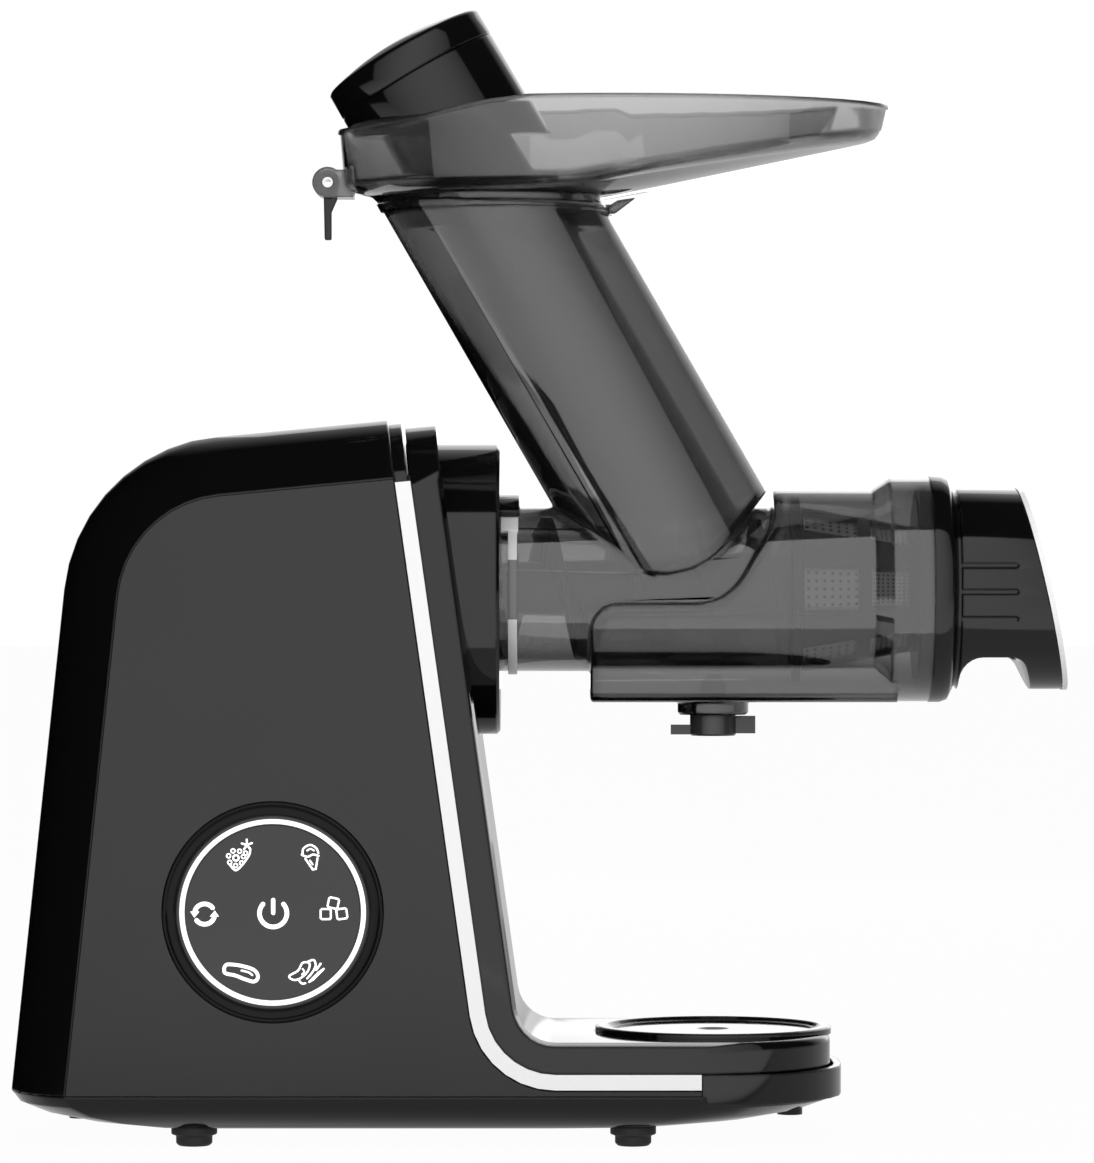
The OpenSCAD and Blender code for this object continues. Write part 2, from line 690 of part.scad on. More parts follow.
switch_len = 9;
switch_h = 16;
switch_t = 7;
module interlock_switch() {
    color([0.15, 0.15, 0.16]) {
        box([collar_back_x - switch_len, switch_y, axis_z - switch_h / 2],
            [collar_back_x, switch_y + switch_t, axis_z + switch_h / 2]);
        for (z = [-5, 5]) box([collar_back_x - switch_len - 3, switch_y + 2, axis_z + z - 1],
            [collar_back_x - switch_len + eps, switch_y + switch_t - 2, axis_z + z + 1]);
    }
}

// ---------------------------------------------------------------- gears

function involute(r, rb) = let (t = sqrt(max(0, r * r / (rb * rb) - 1))) t * 180 / PI - atan(t);

// Outline of a spur gear; shift moves the teeth outwards by that share of the module
function gear_outline(teeth, shift) =
    let (rp = gear_m * teeth / 2, rb = rp * cos(20), ra = rp + gear_m * (0.9 + shift),
        rr = rp - gear_m * (1.25 - shift),
        play = 0.1, half = 90 / teeth + 360 * shift * tan(20) / (PI * teeth)
            - play * 90 / (PI * rp), r0 = max(rb, rr),
        lean = function (r) half + involute(rp, rb) - involute(max(r, rb), rb),
        flank = [rr, for (i = [0:3]) r0 + (ra - r0) * i / 3])
    [for (k = [0:teeth - 1]) let (a = 360 * k / teeth) each [
        for (i = [0:4]) flank[i] * [cos(a - lean(flank[i])), sin(a - lean(flank[i]))],
        for (i = [4:-1:0]) flank[i] * [cos(a + lean(flank[i])), sin(a + lean(flank[i]))]]];

module spur_x(x0, x1, teeth, shift, turn, z) {
    translate([x0, 0, z]) rotate([90, 0, 90]) rotate([0, 0, turn])
        linear_extrude(x1 - x0) polygon(gear_outline(teeth, shift));
}

pinion_shift = 0.4;
centre_gap = gear_m * (pinion_teeth + wheel_teeth) / 2;
lay_z = axis_z - centre_gap;
lay_r = 3;
gear_room = 26;
cover_t = 4;
case_x1 = collar_back_x - cover_t;         // seam of case and cover
case_x0 = case_x1 - gear_room;             // inside of the case's back
case_wall = 3.2;
wheel_r = gear_m * wheel_teeth / 2 + gear_m;
case_r = wheel_r + 1.5;
output_x0 = case_x1 - 13;
output_x1 = case_x1 - 3;
first_x0 = case_x0 + 1.5;
first_x1 = case_x0 + 9.5;
motor_x = case_x0 - case_wall - 3;         // front of the motor
hub_r = 9;
hub_x0 = case_x1;
hub_x1 = collar_back_x + 7;
hex_flats = 9.8;

module case_outline(r) {
    circle(r = r);
    translate([0, -centre_gap]) circle(r = r);
    translate([-r, -centre_gap]) square([2 * r, centre_gap]);
}

module on_axis(x) { translate([x, 0, axis_z]) rotate([90, 0, 90]) children(); }

case_half_w = case_r + 8.6;
switch_y = case_half_w + 2.4;
case_drop = centre_gap + case_r + case_wall;
case_bolts = [for (p = [[-1, 0], [1, 0], [-1, -1], [1, -1]])
    [p[0] * (case_r + 4.4), p[1] * centre_gap]];

module gearbox_case() {
    color([0.5, 0.5, 0.52]) difference() {
        union() {
            on_axis(case_x0 - case_wall) linear_extrude(gear_room + case_wall)
                case_outline(case_r + case_wall);
            for (b = case_bolts) rod_x(case_x0 - case_wall, case_x1, 4.2, b[0], axis_z + b[1]);
            rod_x(motor_x, case_x0, 17);
        }
        on_axis(case_x0) linear_extrude(gear_room + 1) case_outline(case_r);
        rod_x(motor_x - 1, case_x0 + 1, motor_bearing_r + 0.05);
        rod_x(case_x0 - 2, case_x0 + 1, lay_r + fit, 0, lay_z);
        for (b = case_bolts) rod_x(case_x0 - case_wall - 1, case_x1 + 1, 1.8, b[0], axis_z + b[1]);
    }
}

module gearbox_cover() {
    color([0.5, 0.5, 0.52]) difference() {
        union() {
            on_axis(case_x1) linear_extrude(cover_t) case_outline(case_r + case_wall);
            for (b = case_bolts) rod_x(case_x1, collar_back_x, 4.2, b[0], axis_z + b[1]);
            rod_x(collar_back_x - eps, hub_x1 - 0.5, boss_r);
        }
        rod_x(case_x1 - 1, hub_x1, output_bearing_r + 0.05);
        rod_x(case_x1 - 1, case_x1 + 2.5, lay_r + fit, 0, lay_z);
        for (b = case_bolts) rod_x(case_x1 - 1, collar_back_x + 1, 1.8, b[0], axis_z + b[1]);
    }
}

module gearbox_screws() {
    x0 = case_x0 - case_wall - 2.4;
    color([0.65, 0.65, 0.67]) for (b = case_bolts) {
        rod_x(x0, case_x0 - case_wall, 3.2, b[0], axis_z + b[1]);
        rod_x(x0, collar_back_x - 0.2, 1.6, b[0], axis_z + b[1]);
    }
}

// The pinion has a tooth pointing down at the wheel, which has a gap there
down = -90;
half_tooth = 180 / wheel_teeth;

module motor_pinion() {
    color([0.6, 0.58, 0.5]) difference() {
        spur_x(first_x0 - 0.5, output_x0 - 1.5, pinion_teeth, pinion_shift, down, axis_z);
        rod_x(first_x0 - 2, output_x0, shaft_r * 0.75 + 0.01);
    }
}

module layshaft_gear() {
    color([0.85, 0.85, 0.8]) difference() {
        union() {
            spur_x(first_x0, first_x1, wheel_teeth, -pinion_shift, 90 + half_tooth, lay_z);
            spur_x(first_x1 - eps, output_x1 + 1, pinion_teeth, pinion_shift, 90, lay_z);
        }
        rod_x(first_x0 - 1, output_x1 + 2, lay_r + 0.01, 0, lay_z);
    }
}

module layshaft() {
    color([0.7, 0.7, 0.72]) rod_x(case_x0 - 1.8, case_x1 + 2.3, lay_r, 0, lay_z);
}

module output_gear() {
    color([0.85, 0.85, 0.8]) difference() {
        union() {
            spur_x(output_x0, output_x1, wheel_teeth, -pinion_shift, down + half_tooth, axis_z);
            rod_x(output_x1 - eps, case_x1 - 0.3, 11);
        }
        rod_x(output_x0 - 1, case_x1, 6.01);
        for (a = [0:60:300]) translate([0, 0, axis_z]) rotate([a, 0, 0])
            rod_x(output_x0 - 1, output_x1 + 1, 4.2, 0, 16.5);
    }
}

module output_shaft() {
    color([0.7, 0.7, 0.72]) difference() {
        union() {
            rod_x(output_x0, hub_x0, 6);
            rod_x(hub_x0 - 0.2, hub_x1, hub_r);
        }
        on_axis(hub_x0 + 0.5) cylinder(h = 20, r = (hex_flats / 2 + 0.15) / cos(30), $fn = 6);
    }
}

output_bearing_r = 13;
module output_bearing() {
    color([0.75, 0.6, 0.35]) tube_x(case_x1 + 0.1, hub_x1 - 0.5, output_bearing_r, hub_r + fit);
}

// ---------------------------------------------------------------- motor

motor_bearing_r = 9.5;
frame_t = 3;
end_room = 7;
stack_x1 = motor_x - frame_t - end_room;
stack_x0 = stack_x1 - stack_len;
rear_x = stack_x0 - end_room - frame_t;
motor_mid_x = (stack_x0 + stack_x1) / 2;
motor_bolt = stack_side / 2 - 5;

module square_frame(x0, x1, side, r) {
    on_axis(x0) linear_extrude(x1 - x0)
        polygon(rounded([for (p = [[-1, -1], [1, -1], [1, 1], [-1, 1]]) p * side / 2],
            [r, r, r, r], 5));
}

module motor_stack() {
    color([0.35, 0.35, 0.37]) difference() {
        square_frame(stack_x0, stack_x1, stack_side, 8);
        rod_x(stack_x0 - 1, stack_x1 + 1, rotor_r + 0.6);
        for (a = [0:15:345]) translate([0, 0, axis_z]) rotate([a, 0, 0])
            box([stack_x0 - 1, -1.6, rotor_r + 2], [stack_x1 + 1, 1.6, rotor_r + 11]);
        for (y = [-1, 1], z = [-1, 1])
            rod_x(stack_x0 - 1, stack_x1 + 1, 2.2, y * motor_bolt, axis_z + z * motor_bolt);
    }
}

module motor_windings() {
    color([0.6, 0.3, 0.12]) for (x = [stack_x1, stack_x0 - 5.5])
        turned([[rotor_r + 2.5, x + 0.5], [rotor_r + 4, x], [rotor_r + 10, x],
            [rotor_r + 12, x + 1.5], [rotor_r + 12, x + 4], [rotor_r + 10, x + 5.5],
            [rotor_r + 4, x + 5.5], [rotor_r + 2.5, x + 4]]);
}

module motor_frame(x0, x1, plate_x) {
    difference() {
        union() {
            square_frame(plate_x, plate_x + frame_t, stack_side - 4, 10);
            for (y = [-1, 1], z = [-1, 1])
                rod_x(x0, x1, 4.4, y * motor_bolt, axis_z + z * motor_bolt);
        }
        rod_x(plate_x - 1, plate_x + frame_t + 1, motor_bearing_r + 0.02);
        for (a = [0:45:315]) translate([0, 0, axis_z]) rotate([a, 0, 0])
            rod_x(plate_x - 1, plate_x + frame_t + 1, 5, 0, 22);
    }
}

module motor_front_frame() {
    color([0.6, 0.6, 0.62]) motor_frame(stack_x1, motor_x, motor_x - frame_t);
}

module motor_rear_frame() {
    color([0.6, 0.6, 0.62]) motor_frame(rear_x, stack_x0, rear_x);
}

module motor_bearings() {
    color([0.72, 0.72, 0.75]) {
        tube_x(motor_x - frame_t, motor_x + 3, motor_bearing_r, shaft_r + fit);
        tube_x(rear_x - 1, rear_x + frame_t + 2, motor_bearing_r, shaft_r + fit);
    }
}

module motor_rotor() {
    color([0.45, 0.45, 0.47])
        turned([[shaft_r + 0.01, stack_x0 - 1], [rotor_r - 2, stack_x0 - 1], [rotor_r, stack_x0],
            [rotor_r, stack_x1], [rotor_r - 2, stack_x1 + 1], [shaft_r + 0.01, stack_x1 + 1]]);
}

fan_x1 = rear_x - 2.5;
module motor_shaft() {
    color([0.7, 0.7, 0.72]) {
        rod_x(fan_x1 - 8.5, first_x0 - 1.2, shaft_r);
        rod_x(first_x0 - 1.3, output_x0 - 1.6, shaft_r * 0.75);
    }
}

module cooling_fan() {
    color([0.2, 0.2, 0.22]) difference() {
        union() {
            rod_x(fan_x1 - 8, fan_x1, 9);
            rod_x(fan_x1 - 1.6, fan_x1, 27);
            for (a = [0:40:320]) translate([0, 0, axis_z]) rotate([a, 0, 0])
                translate([fan_x1 - 8, 0, 8]) rotate([0, 0, 12]) cube([7.2, 1.2, 18]);
        }
        rod_x(fan_x1 - 10, fan_x1 + 1, shaft_r + 0.01);
    }
}

// ---------------------------------------------------------------- auger and strainer

neck_back_x = collar_back_x + 8;
bore_r = neck_r - clear_wall - 0.2;
barrel_x1 = chute_x + 27.6;
auger_x0 = neck_back_x + 5;
auger_x1 = nozzle_x - 2.6;
flight_r = bore_r - 0.9;
flight_end_r = flight_r - 7.2;
taper_x = barrel_x1 + 1;
auger_bore = 4;
shank_x0 = hub_x0 + 1;

function flight_at(x) = x < taper_x ? flight_r
    : flight_r + (flight_end_r - flight_r) * (x - taper_x) / (auger_x1 - taper_x);

module auger() {
    turns = 7;
    per_turn = 20;
    steps = turns * per_turn;
    x0 = auger_x0 + 3.4;
    x1 = auger_x1 - 2.5;
    // pitch shortens towards the nozzle, where the pulp is pressed
    place = function (t) x0 + (x1 - x0) * t * (1.28 - 0.28 * t);
    core_at = function (x) 9.5 + 6.5 * (x - auger_x0) / (auger_x1 - auger_x0);
    color([0.12, 0.12, 0.12]) difference() {
        union() {
            turned([[0, auger_x0], [flight_r - 0.5, auger_x0], [flight_r, auger_x0 + 0.6],
                [flight_r, auger_x0 + 3], [core_at(auger_x0) + 1, auger_x0 + 4.5],
                [core_at(auger_x0), auger_x0 + 8], [core_at(auger_x1), auger_x1 - 2],
                [core_at(auger_x1) - 2, auger_x1], [0, auger_x1]]);
            loft([for (i = [0:steps])
                let (t = i / steps, x = place(t), a = 360 * turns * t,
                    r = flight_at(x), c = core_at(x) - 1.5, w = 2.4 - 0.6 * t)
                [for (q = [[c, w + 0.8], [c, -w - 0.8], [r, -w * 0.55], [r, w * 0.55]])
                    [x + q[1], -q[0] * sin(a), axis_z + q[0] * cos(a)]]]);
        }
        rod_x(auger_x0 - 1, auger_x1 + 1, auger_bore + 0.02);
    }
}

module auger_shaft() {
    color([0.72, 0.72, 0.75]) {
        on_axis(shank_x0) cylinder(h = auger_x0 - shank_x0, r = hex_flats / 2 / cos(30), $fn = 6);
        rod_x(auger_x0 - eps, nozzle_x + 15, auger_bore);
    }
}

strainer_x0 = barrel_x1 + 0.5;
strainer_x1 = nozzle_x - 2;

function screen_at(x) = flight_at(max(x, taper_x)) + 0.7;

module strainer_frame() {
    color([0.1, 0.1, 0.1]) difference() {
        turned([[screen_at(strainer_x0) + 0.6, strainer_x0], [drum_r - clear_wall - 0.6, strainer_x0],
            [drum_r - clear_wall - 0.6, strainer_x0 + 3], [screen_at(strainer_x0) + 2.8, strainer_x0 + 3.4],
            [screen_at(strainer_x1) + 2.8, strainer_x1 - 3.4],
            [drum_r - clear_wall - 1.2, strainer_x1 - 3], [drum_r - clear_wall - 1.2, strainer_x1],
            [screen_at(strainer_x1) + 0.6, strainer_x1]]);
        for (a = [30:60:330]) translate([0, 0, axis_z]) rotate([a, 0, 0]) {
            box([strainer_x0 + 4, -8, 15], [strainer_x0 + 24, 8, 45]);
            box([strainer_x0 + 28.5, -7, 15], [strainer_x1 - 6, 7, 45]);
        }
    }
}

module strainer_screen() {
    color([0.75, 0.75, 0.78]) turned([[screen_at(strainer_x0), strainer_x0 + 0.5],
        [screen_at(strainer_x0) + 0.5, strainer_x0 + 0.5],
        [screen_at(strainer_x1) + 0.5, strainer_x1 - 0.5], [screen_at(strainer_x1), strainer_x1 - 0.5]]);
}

// ---------------------------------------------------------------- drum

// Outline of drum and sump, seen from the side
sump_line = [[chute_x - 44.8, axis_z - 60], [nozzle_x + 5, axis_z - 60],
    [nozzle_x + 5, axis_z + 60], [chute_x + 21.5, axis_z + 60], [chute_x + 21.5, axis_z + 24],
    [chute_x + 4, axis_z - 5.3], [chute_x - 44.8, axis_z - 5.3]];
sump_round = [0, 0, 0, 0, 16, 20, 10];
// Outline within which the chute ends on the neck
throat_line = [[chute_x - 15.5, axis_z - 7], [chute_x + 28, axis_z + 46],
    [chute_x + 40, mouth_z + 10], [mouth_x - 60, mouth_z + 10], [chute_x - 72, axis_z + 39.5]];
throat_round = [30, 0, 0, 0, 0];
spout_r = 6.8;
spout_bore = 5.4;
skirt_r = 12.9;
spout_z = axis_z - sump_drop - 8.6;
flare_x = ring_x - 6.6;

sump_half = 23;
sump_edge_r = 5;

// Outside of the drum, its throat and its chute, drawn in by t for the cavity
module drum_shape(t) {
    intersection() {
        union() {
            rod_x(chute_x - 50, flare_x + 1, drum_r - t);
            on_axis(chute_x - 50) linear_extrude(ring_x - chute_x + 52) polygon(rounded(
                [[-sump_half + t, -sump_drop + t], [sump_half - t, -sump_drop + t],
                    [sump_half - t, 0], [-sump_half + t, 0]],
                [sump_edge_r - t, sump_edge_r - t, 0, 0]));
        }
        slab(rounded(inset(sump_line, t), [for (r = sump_round) r > 0 ? r + t / 2 : 0]), -50, 50);
    }
    intersection() {
        between(axis_z - 20, mouth_z + (t > 0 ? 1 : 0)) on_chute() translate([0, 0, -40])
            cylinder(h = 400, r = chute_r - t);
        slab(rounded(inset(throat_line, t), [for (r = throat_round) r > 0 ? r + t / 2 : 0]),
            -50, 50);
    }
}

module drum() {
    t = clear_wall;
    color([0.25, 0.25, 0.26, 0.6]) difference() {
        union() {
            difference() {
                union() {
                    drum_shape(0);
                    turned([[0, flare_x - 3], [drum_r, flare_x - 3], [drum_r, flare_x], [ring_r, ring_x],
                        [ring_r, nozzle_x], [0, nozzle_x]]);
                    between(mouth_z - 2.4, mouth_z) on_chute() cylinder(h = 400, r = chute_r + 0.9);
                    // catch of the hopper
                    slab([[mouth_x + 38, mouth_z - 2.4], [mouth_x + 45, mouth_z - 3.4],
                        [mouth_x + 52.8, mouth_z + 2.6], [mouth_x + 46, mouth_z + 1.6],
                        [mouth_x + 43.4, mouth_z], [mouth_x + 38, mouth_z]], -5, 5);
                }
                drum_shape(t);
                turned([[0, flare_x - 4], [drum_r - t, flare_x - 4], [drum_r - t, flare_x],
                    [ring_r - t, ring_x], [ring_r - t, nozzle_x + 1], [0, nozzle_x + 1]]);
            }
            rod_x(neck_back_x, barrel_x1, neck_r);
            between(axis_z + 4, mouth_z) on_chute() cylinder(h = 400, r = guide_r + clear_wall);
            // spout with its skirt
            translate([chute_x, 0, spout_z]) cylinder(h = axis_z - sump_drop - spout_z + t / 2,
                r = spout_r);
            translate([chute_x, 0, axis_z - sump_drop - 4.8]) difference() {
                cylinder(h = 4.8 + t / 2, r = skirt_r);
                translate([0, 0, -1]) cylinder(h = 5.8, r = skirt_r - 1.5);
            }
            // bayonet lugs
            for (a = [60:120:300]) intersection() {
                tube_x(neck_back_x + 1, neck_back_x + 4, neck_r + slip - 0.1, neck_r - 1);
                translate([0, 0, axis_z]) rotate([a, 0, 0])
                    box([neck_back_x, -5, neck_r - 5], [neck_back_x + 5, 5, neck_r + 5]);
            }
        }
        rod_x(neck_back_x - 1, barrel_x1 + 1, bore_r);
        on_chute() cylinder(h = 400, r = guide_r);
        translate([chute_x, 0, spout_z - 1]) cylinder(h = axis_z - sump_drop - spout_z + 4,
            r = spout_bore);
    }
}

lock_ring_x = collar_x + 2.9;
module drum_lock_ring() {
    color([0.78, 0.78, 0.8]) {
        tube_x(lock_ring_x, lock_ring_x + 3.3, neck_r + 1.2, neck_r + 0.02);
        arc_block(collar_x + 0.3, collar_x + 6.6, neck_r + 0.02, neck_r + 1.5, 48);
    }
}

module drum_seal() {
    color([0.6, 0.6, 0.6]) tube_x(neck_back_x + 0.3, auger_x0 - 0.3, bore_r - 0.05, 6.2);
}

// ---------------------------------------------------------------- pulp nozzle

nozzle_r = 36.5;
flange_len = 8.3;
waist_x = nozzle_x + flange_len + 2;
spigot_r = ring_r - clear_wall - 0.3;
face_t = 1.8;
notch_z = axis_z - 24.7;
pulp_r = screen_at(strainer_x1) + 1.5;
groove_t = 0.9;

// The nozzle's slanted face, drawn back by d, as a half space to its left
module behind_face(d) {
    translate([tip_x - d / cos(face_slant), 0, axis_z - nozzle_r]) rotate([0, -face_slant, 0])
        box([-150, -60, -60], [0, 60, 160]);
}

// Way out of the pulp, cut into the nozzle's underside
module nozzle_notch() {
    low = axis_z - nozzle_r - 6;
    slab(rounded([[waist_x, low], [waist_x + 29, low], [waist_x + 22.5, notch_z],
        [waist_x, notch_z]], [0, 0, 6, 8]), -50, 50);
}

module nozzle_cap() {
    hub = 7;
    cavity_x1 = waist_x + 22;
    color([0.015, 0.015, 0.015]) {
        difference() {
            intersection() {
                turned([[0, nozzle_x + eps], [ring_r + 0.3, nozzle_x + eps],
                    [ring_r + 0.3, nozzle_x + 4], [ring_r - 0.6, nozzle_x + 6.6],
                    [nozzle_r + 0.6, nozzle_x + flange_len], [nozzle_r - 1, nozzle_x + flange_len + 0.4],
                    [nozzle_r - 1, waist_x - 0.4], [nozzle_r, waist_x], [nozzle_r, tip_x + 1],
                    [0, tip_x + 1]]);
                behind_face(face_t);
            }
            turned([[0, nozzle_x - 1], [nozzle_r - 6, nozzle_x - 1], [pulp_r, nozzle_x + 4],
                [pulp_r, cavity_x1], [0, cavity_x1]]);
            box([waist_x + 4, -13, notch_z - 2], [cavity_x1, 13, axis_z - 10]);
            nozzle_notch();
            for (s = [0, 180], a = [-13.5, 1.6, 17.5]) translate([0, 0, axis_z])
                rotate([90 + s + a, 0, 0]) grip_groove();
        }
        tube_x(nozzle_x - 4.5, nozzle_x + 0.5, spigot_r, spigot_r - 2);
        tube_x(nozzle_x + 8, cavity_x1 + 1, hub, auger_bore + 2.5);
        rod_x(nozzle_x + 15.5, cavity_x1 + 1, hub);
    }
}

// Groove with sloping sides that starts at the cap's waist and ends in a half round
module grip_groove() {
    floor_half = groove_w / 2 - groove_t;
    top_half = groove_w / 2 + 1;
    translate([waist_x - 1, 0, nozzle_r - groove_t]) {
        rotate([90, 0, 90]) linear_extrude(groove_len + 1) polygon([[-floor_half, 0],
            [floor_half, 0], [top_half, groove_t + 1], [-top_half, groove_t + 1]]);
        translate([groove_len + 1, 0, 0])
            cylinder(h = groove_t + 1, r1 = floor_half, r2 = top_half);
    }
}

module nozzle_face() {
    color([0.8, 0.8, 0.82]) difference() {
        intersection() {
            rod_x(waist_x, tip_x + 5, nozzle_r + 0.3);
            difference() {
                behind_face(0);
                behind_face(face_t - 0.02);
            }
        }
    }
}

module auger_tip_bush() {
    color([0.75, 0.6, 0.35]) tube_x(nozzle_x + 8, nozzle_x + 15.4, auger_bore + 2.45,
        auger_bore + fit);
}

// ---------------------------------------------------------------- drip valve

valve_top_z = axis_z - neck_r - 1.5;
valve_cap_r = 8.4;
valve_z = axis_z - sump_drop - 12.5;

module drip_valve() {
    stem_r = spout_bore - 0.3;
    color([0.015, 0.015, 0.015]) {
        translate([chute_x, 0, valve_z]) rotate_extrude() polygon([[0, 0], [valve_cap_r - 0.5, 0],
            [valve_cap_r, 0.6], [valve_cap_r, 11.8], [spout_r + 0.2, 11.8],
            [spout_r + 0.2, 2.2], [stem_r, 2.2], [stem_r, valve_top_z - valve_z - 4],
            [stem_r * 0.8, valve_top_z - valve_z - 1.5],
            [stem_r * 0.4, valve_top_z - valve_z - 0.2], [0, valve_top_z - valve_z]]);
        box([chute_x - 15.4, -1.4, valve_z + 0.4], [chute_x - valve_cap_r + 0.6, 1.4, valve_z + 4]);
        box([chute_x + valve_cap_r - 0.6, -1.4, valve_z + 0.8],
            [chute_x + 15.4, 1.4, valve_z + 7.2]);
    }
}

module valve_seal() {
    color([0.5, 0.5, 0.5]) translate([chute_x, 0, valve_z + 2.25]) rotate_extrude()
        polygon([[spout_bore - 0.15, 0], [spout_r + 0.1, 0], [spout_r + 0.1, 1.4],
            [spout_bore - 0.15, 1.4]]);
}

// ---------------------------------------------------------------- hopper

hopper_x0 = mouth_x - 56.1;
hopper_mid = hopper_x0 + hopper_len / 2;
rim_z = mouth_z + hopper_h;
floor_z = mouth_z + 0.3;
ear_x = hopper_x0 - 3.5;
ear_z = mouth_z + 8;
ear_r = 5.6;
pin_r = 1.9;
ear_gap = 3.9;
ear_t = 2.6;

function smooth(t) = let (u = max(0, min(1, t))) u * u * (3 - 2 * u);
function rim_at(x) = rim_z - rim_dip * smooth((hopper_x0 + 72 - x) / 62);
// Underside of the hopper, which climbs away from the chute
function floor_at(x) = floor_z + 2.8 + max(0, x - mouth_x - 27) * 0.17;

// Ring of the hopper: an oval of the rim's shape, drawn in by d, at heights given by f
function oval(d, f, n = 40) = [for (i = [0:n - 1])
    let (a = 360 * i / n, x = hopper_mid + (hopper_len / 2 - d) * cos(a),
        y = (hopper_w / 2 - d) * sin(a)) [x, y, f(x)]];
// Ring round the mouth of the chute: a level cut through the leaning chute
function mouth_ring(r, z, n = 40) = [for (i = [0:n - 1])
    let (a = 360 * i / n) [chute_x - (z - axis_z) * tan(chute_lean) + r / cos(chute_lean) * cos(a),
        r * sin(a), z]];

module hopper() {
    t = hopper_wall;
    color([0.5, 0.5, 0.5, 0.5]) {
        difference() {
            union() {
                loft_loop([
                    mouth_ring(guide_r + 0.8, floor_z),
                    mouth_ring(chute_r + 0.1, floor_z),
                    mouth_ring(chute_r + 0.9, floor_z + 2.2),
                    oval(10, function (x) floor_at(x)),
                    oval(5.2, function (x) floor_at(x) + 1.2),
                    oval(2.4, function (x) floor_at(x) + 4),
                    oval(0.9, function (x) rim_at(x) - 1.6),
                    oval(0, function (x) rim_at(x) - 1.2),
                    oval(0, function (x) rim_at(x)),
                    oval(t, function (x) rim_at(x)),
                    oval(2.4 + t, function (x) floor_at(x) + 4 + t * 0.6),
                    oval(5.2 + t, function (x) floor_at(x) + 1.2 + t),
                    oval(10 + t, function (x) floor_at(x) + t),
                    mouth_ring(chute_r + 0.5, floor_z + 2.2 + t),
                    mouth_ring(guide_r + 3, floor_z + 1.4 + t),
                    mouth_ring(guide_r + 0.8, floor_z + 0.4 + t)]);
                // skirt that plugs into the chute's mouth
                between(mouth_z - 9, floor_z + 1) on_chute() difference() {
                    cylinder(h = 400, r = chute_r - clear_wall - slip);
                    cylinder(h = 400, r = guide_r + clear_wall + 3);
                }
                // half collar behind the mouth, on which the pusher's head rests
                between(floor_z + 1, mouth_z + head_up - 0.3) on_chute() intersection() {
                    cylinder(h = 400, r = guide_r + 2.8);
                    box([-60, -60, 0], [-4, 60, 400]);
                }
                // ears of the latch
                for (s = [-1, 1]) {
                    y0 = s > 0 ? ear_gap : -ear_gap - ear_t;
                    translate([ear_x, y0 + ear_t, ear_z]) rotate([90, 0, 0])
                        cylinder(h = ear_t, r = ear_r);
                    box([ear_x, y0, ear_z - ear_r], [hopper_x0 + 6, y0 + ear_t, ear_z + ear_r - 1]);
                }
            }
            translate([ear_x, 20, ear_z]) rotate([90, 0, 0]) cylinder(h = 40, r = pin_r + 0.02);
            on_chute() cylinder(h = 400, r = guide_r + 0.4);
        }
    }
}

module latch_lever() {
    color([0.1, 0.1, 0.1]) difference() {
        union() {
            translate([ear_x, ear_gap - slip, ear_z]) rotate([90, 0, 0])
                cylinder(h = 2 * (ear_gap - slip), r = ear_r - 1.2);
            slab(rounded([[ear_x - 1.6, ear_z - 2], [ear_x - 1.2, ear_z - 20.8],
                [ear_x + 1.4, ear_z - 20.8], [ear_x + 1.4, ear_z - 10.8], [ear_x + 3.4, ear_z - 6.2],
                [ear_x + 3.4, ear_z - 2]], [0, 0.6, 0.6, 0.8, 0.8, 0]), slip - ear_gap, ear_gap - slip);
        }
        translate([ear_x, 20, ear_z]) rotate([90, 0, 0]) cylinder(h = 40, r = pin_r + fit);
    }
}

module latch_pin() {
    color([0.75, 0.75, 0.77]) translate([ear_x, ear_gap + ear_t, ear_z]) rotate([90, 0, 0])
        difference() {
            cylinder(h = 2 * (ear_gap + ear_t), r = pin_r);
            translate([0, 0, -1]) cylinder(h = 30, r = pin_r - 0.8);
        }
}

// ---------------------------------------------------------------- pusher

stem_r = guide_r - pusher_gap;
saddle_r = bore_r + 2.8;      // hollow of the stem's end, which follows the auger's barrel
head_z = mouth_z + head_up;
// Distances up the chute from the drive axis
lid_s = (head_z - axis_z) / cos(chute_lean) + 26.4;
stem_wall = 2.4;

module pusher_body() {
    color([0.015, 0.015, 0.015]) difference() {
        union() {
            between(axis_z, head_z + 5) on_chute() cylinder(h = 300, r = stem_r);
            between(head_z, 500) on_chute() translate([0, 0, 100])
                cylinder(h = lid_s - 100, r = head_r);
        }
        difference() {
            union() {
                on_chute() cylinder(h = lid_s + 1, r = stem_r - stem_wall);
                between(head_z + stem_wall, 500) on_chute() translate([0, 0, 100])
                    cylinder(h = lid_s, r = head_r - stem_wall);
            }
            rod_x(chute_x - 150, chute_x + 100, saddle_r + stem_wall);
        }
        rod_x(chute_x - 150, chute_x + 100, saddle_r);
    }
}

module pusher_lid() {
    dome_r = (head_r * head_r + dome_h * dome_h) / (2 * dome_h);
    top = lid_s + lid_h;
    color([0.015, 0.015, 0.015]) on_chute() rotate_extrude() polygon([
        [0, lid_s + 2], [head_r - stem_wall - 2.2, lid_s + 2], [head_r - stem_wall - 2.2, lid_s - 4],
        [head_r - stem_wall - 0.2, lid_s - 4], [head_r - stem_wall - 0.2, lid_s + 0.05],
        [head_r, lid_s + 0.05], [head_r, top - 0.8],
        for (i = [0:8]) let (r = (head_r - 0.5) * (1 - i / 8))
            [r, top + sqrt(dome_r * dome_r - r * r) - (dome_r - dome_h)]]);
}

// ---------------------------------------------------------------- all pieces

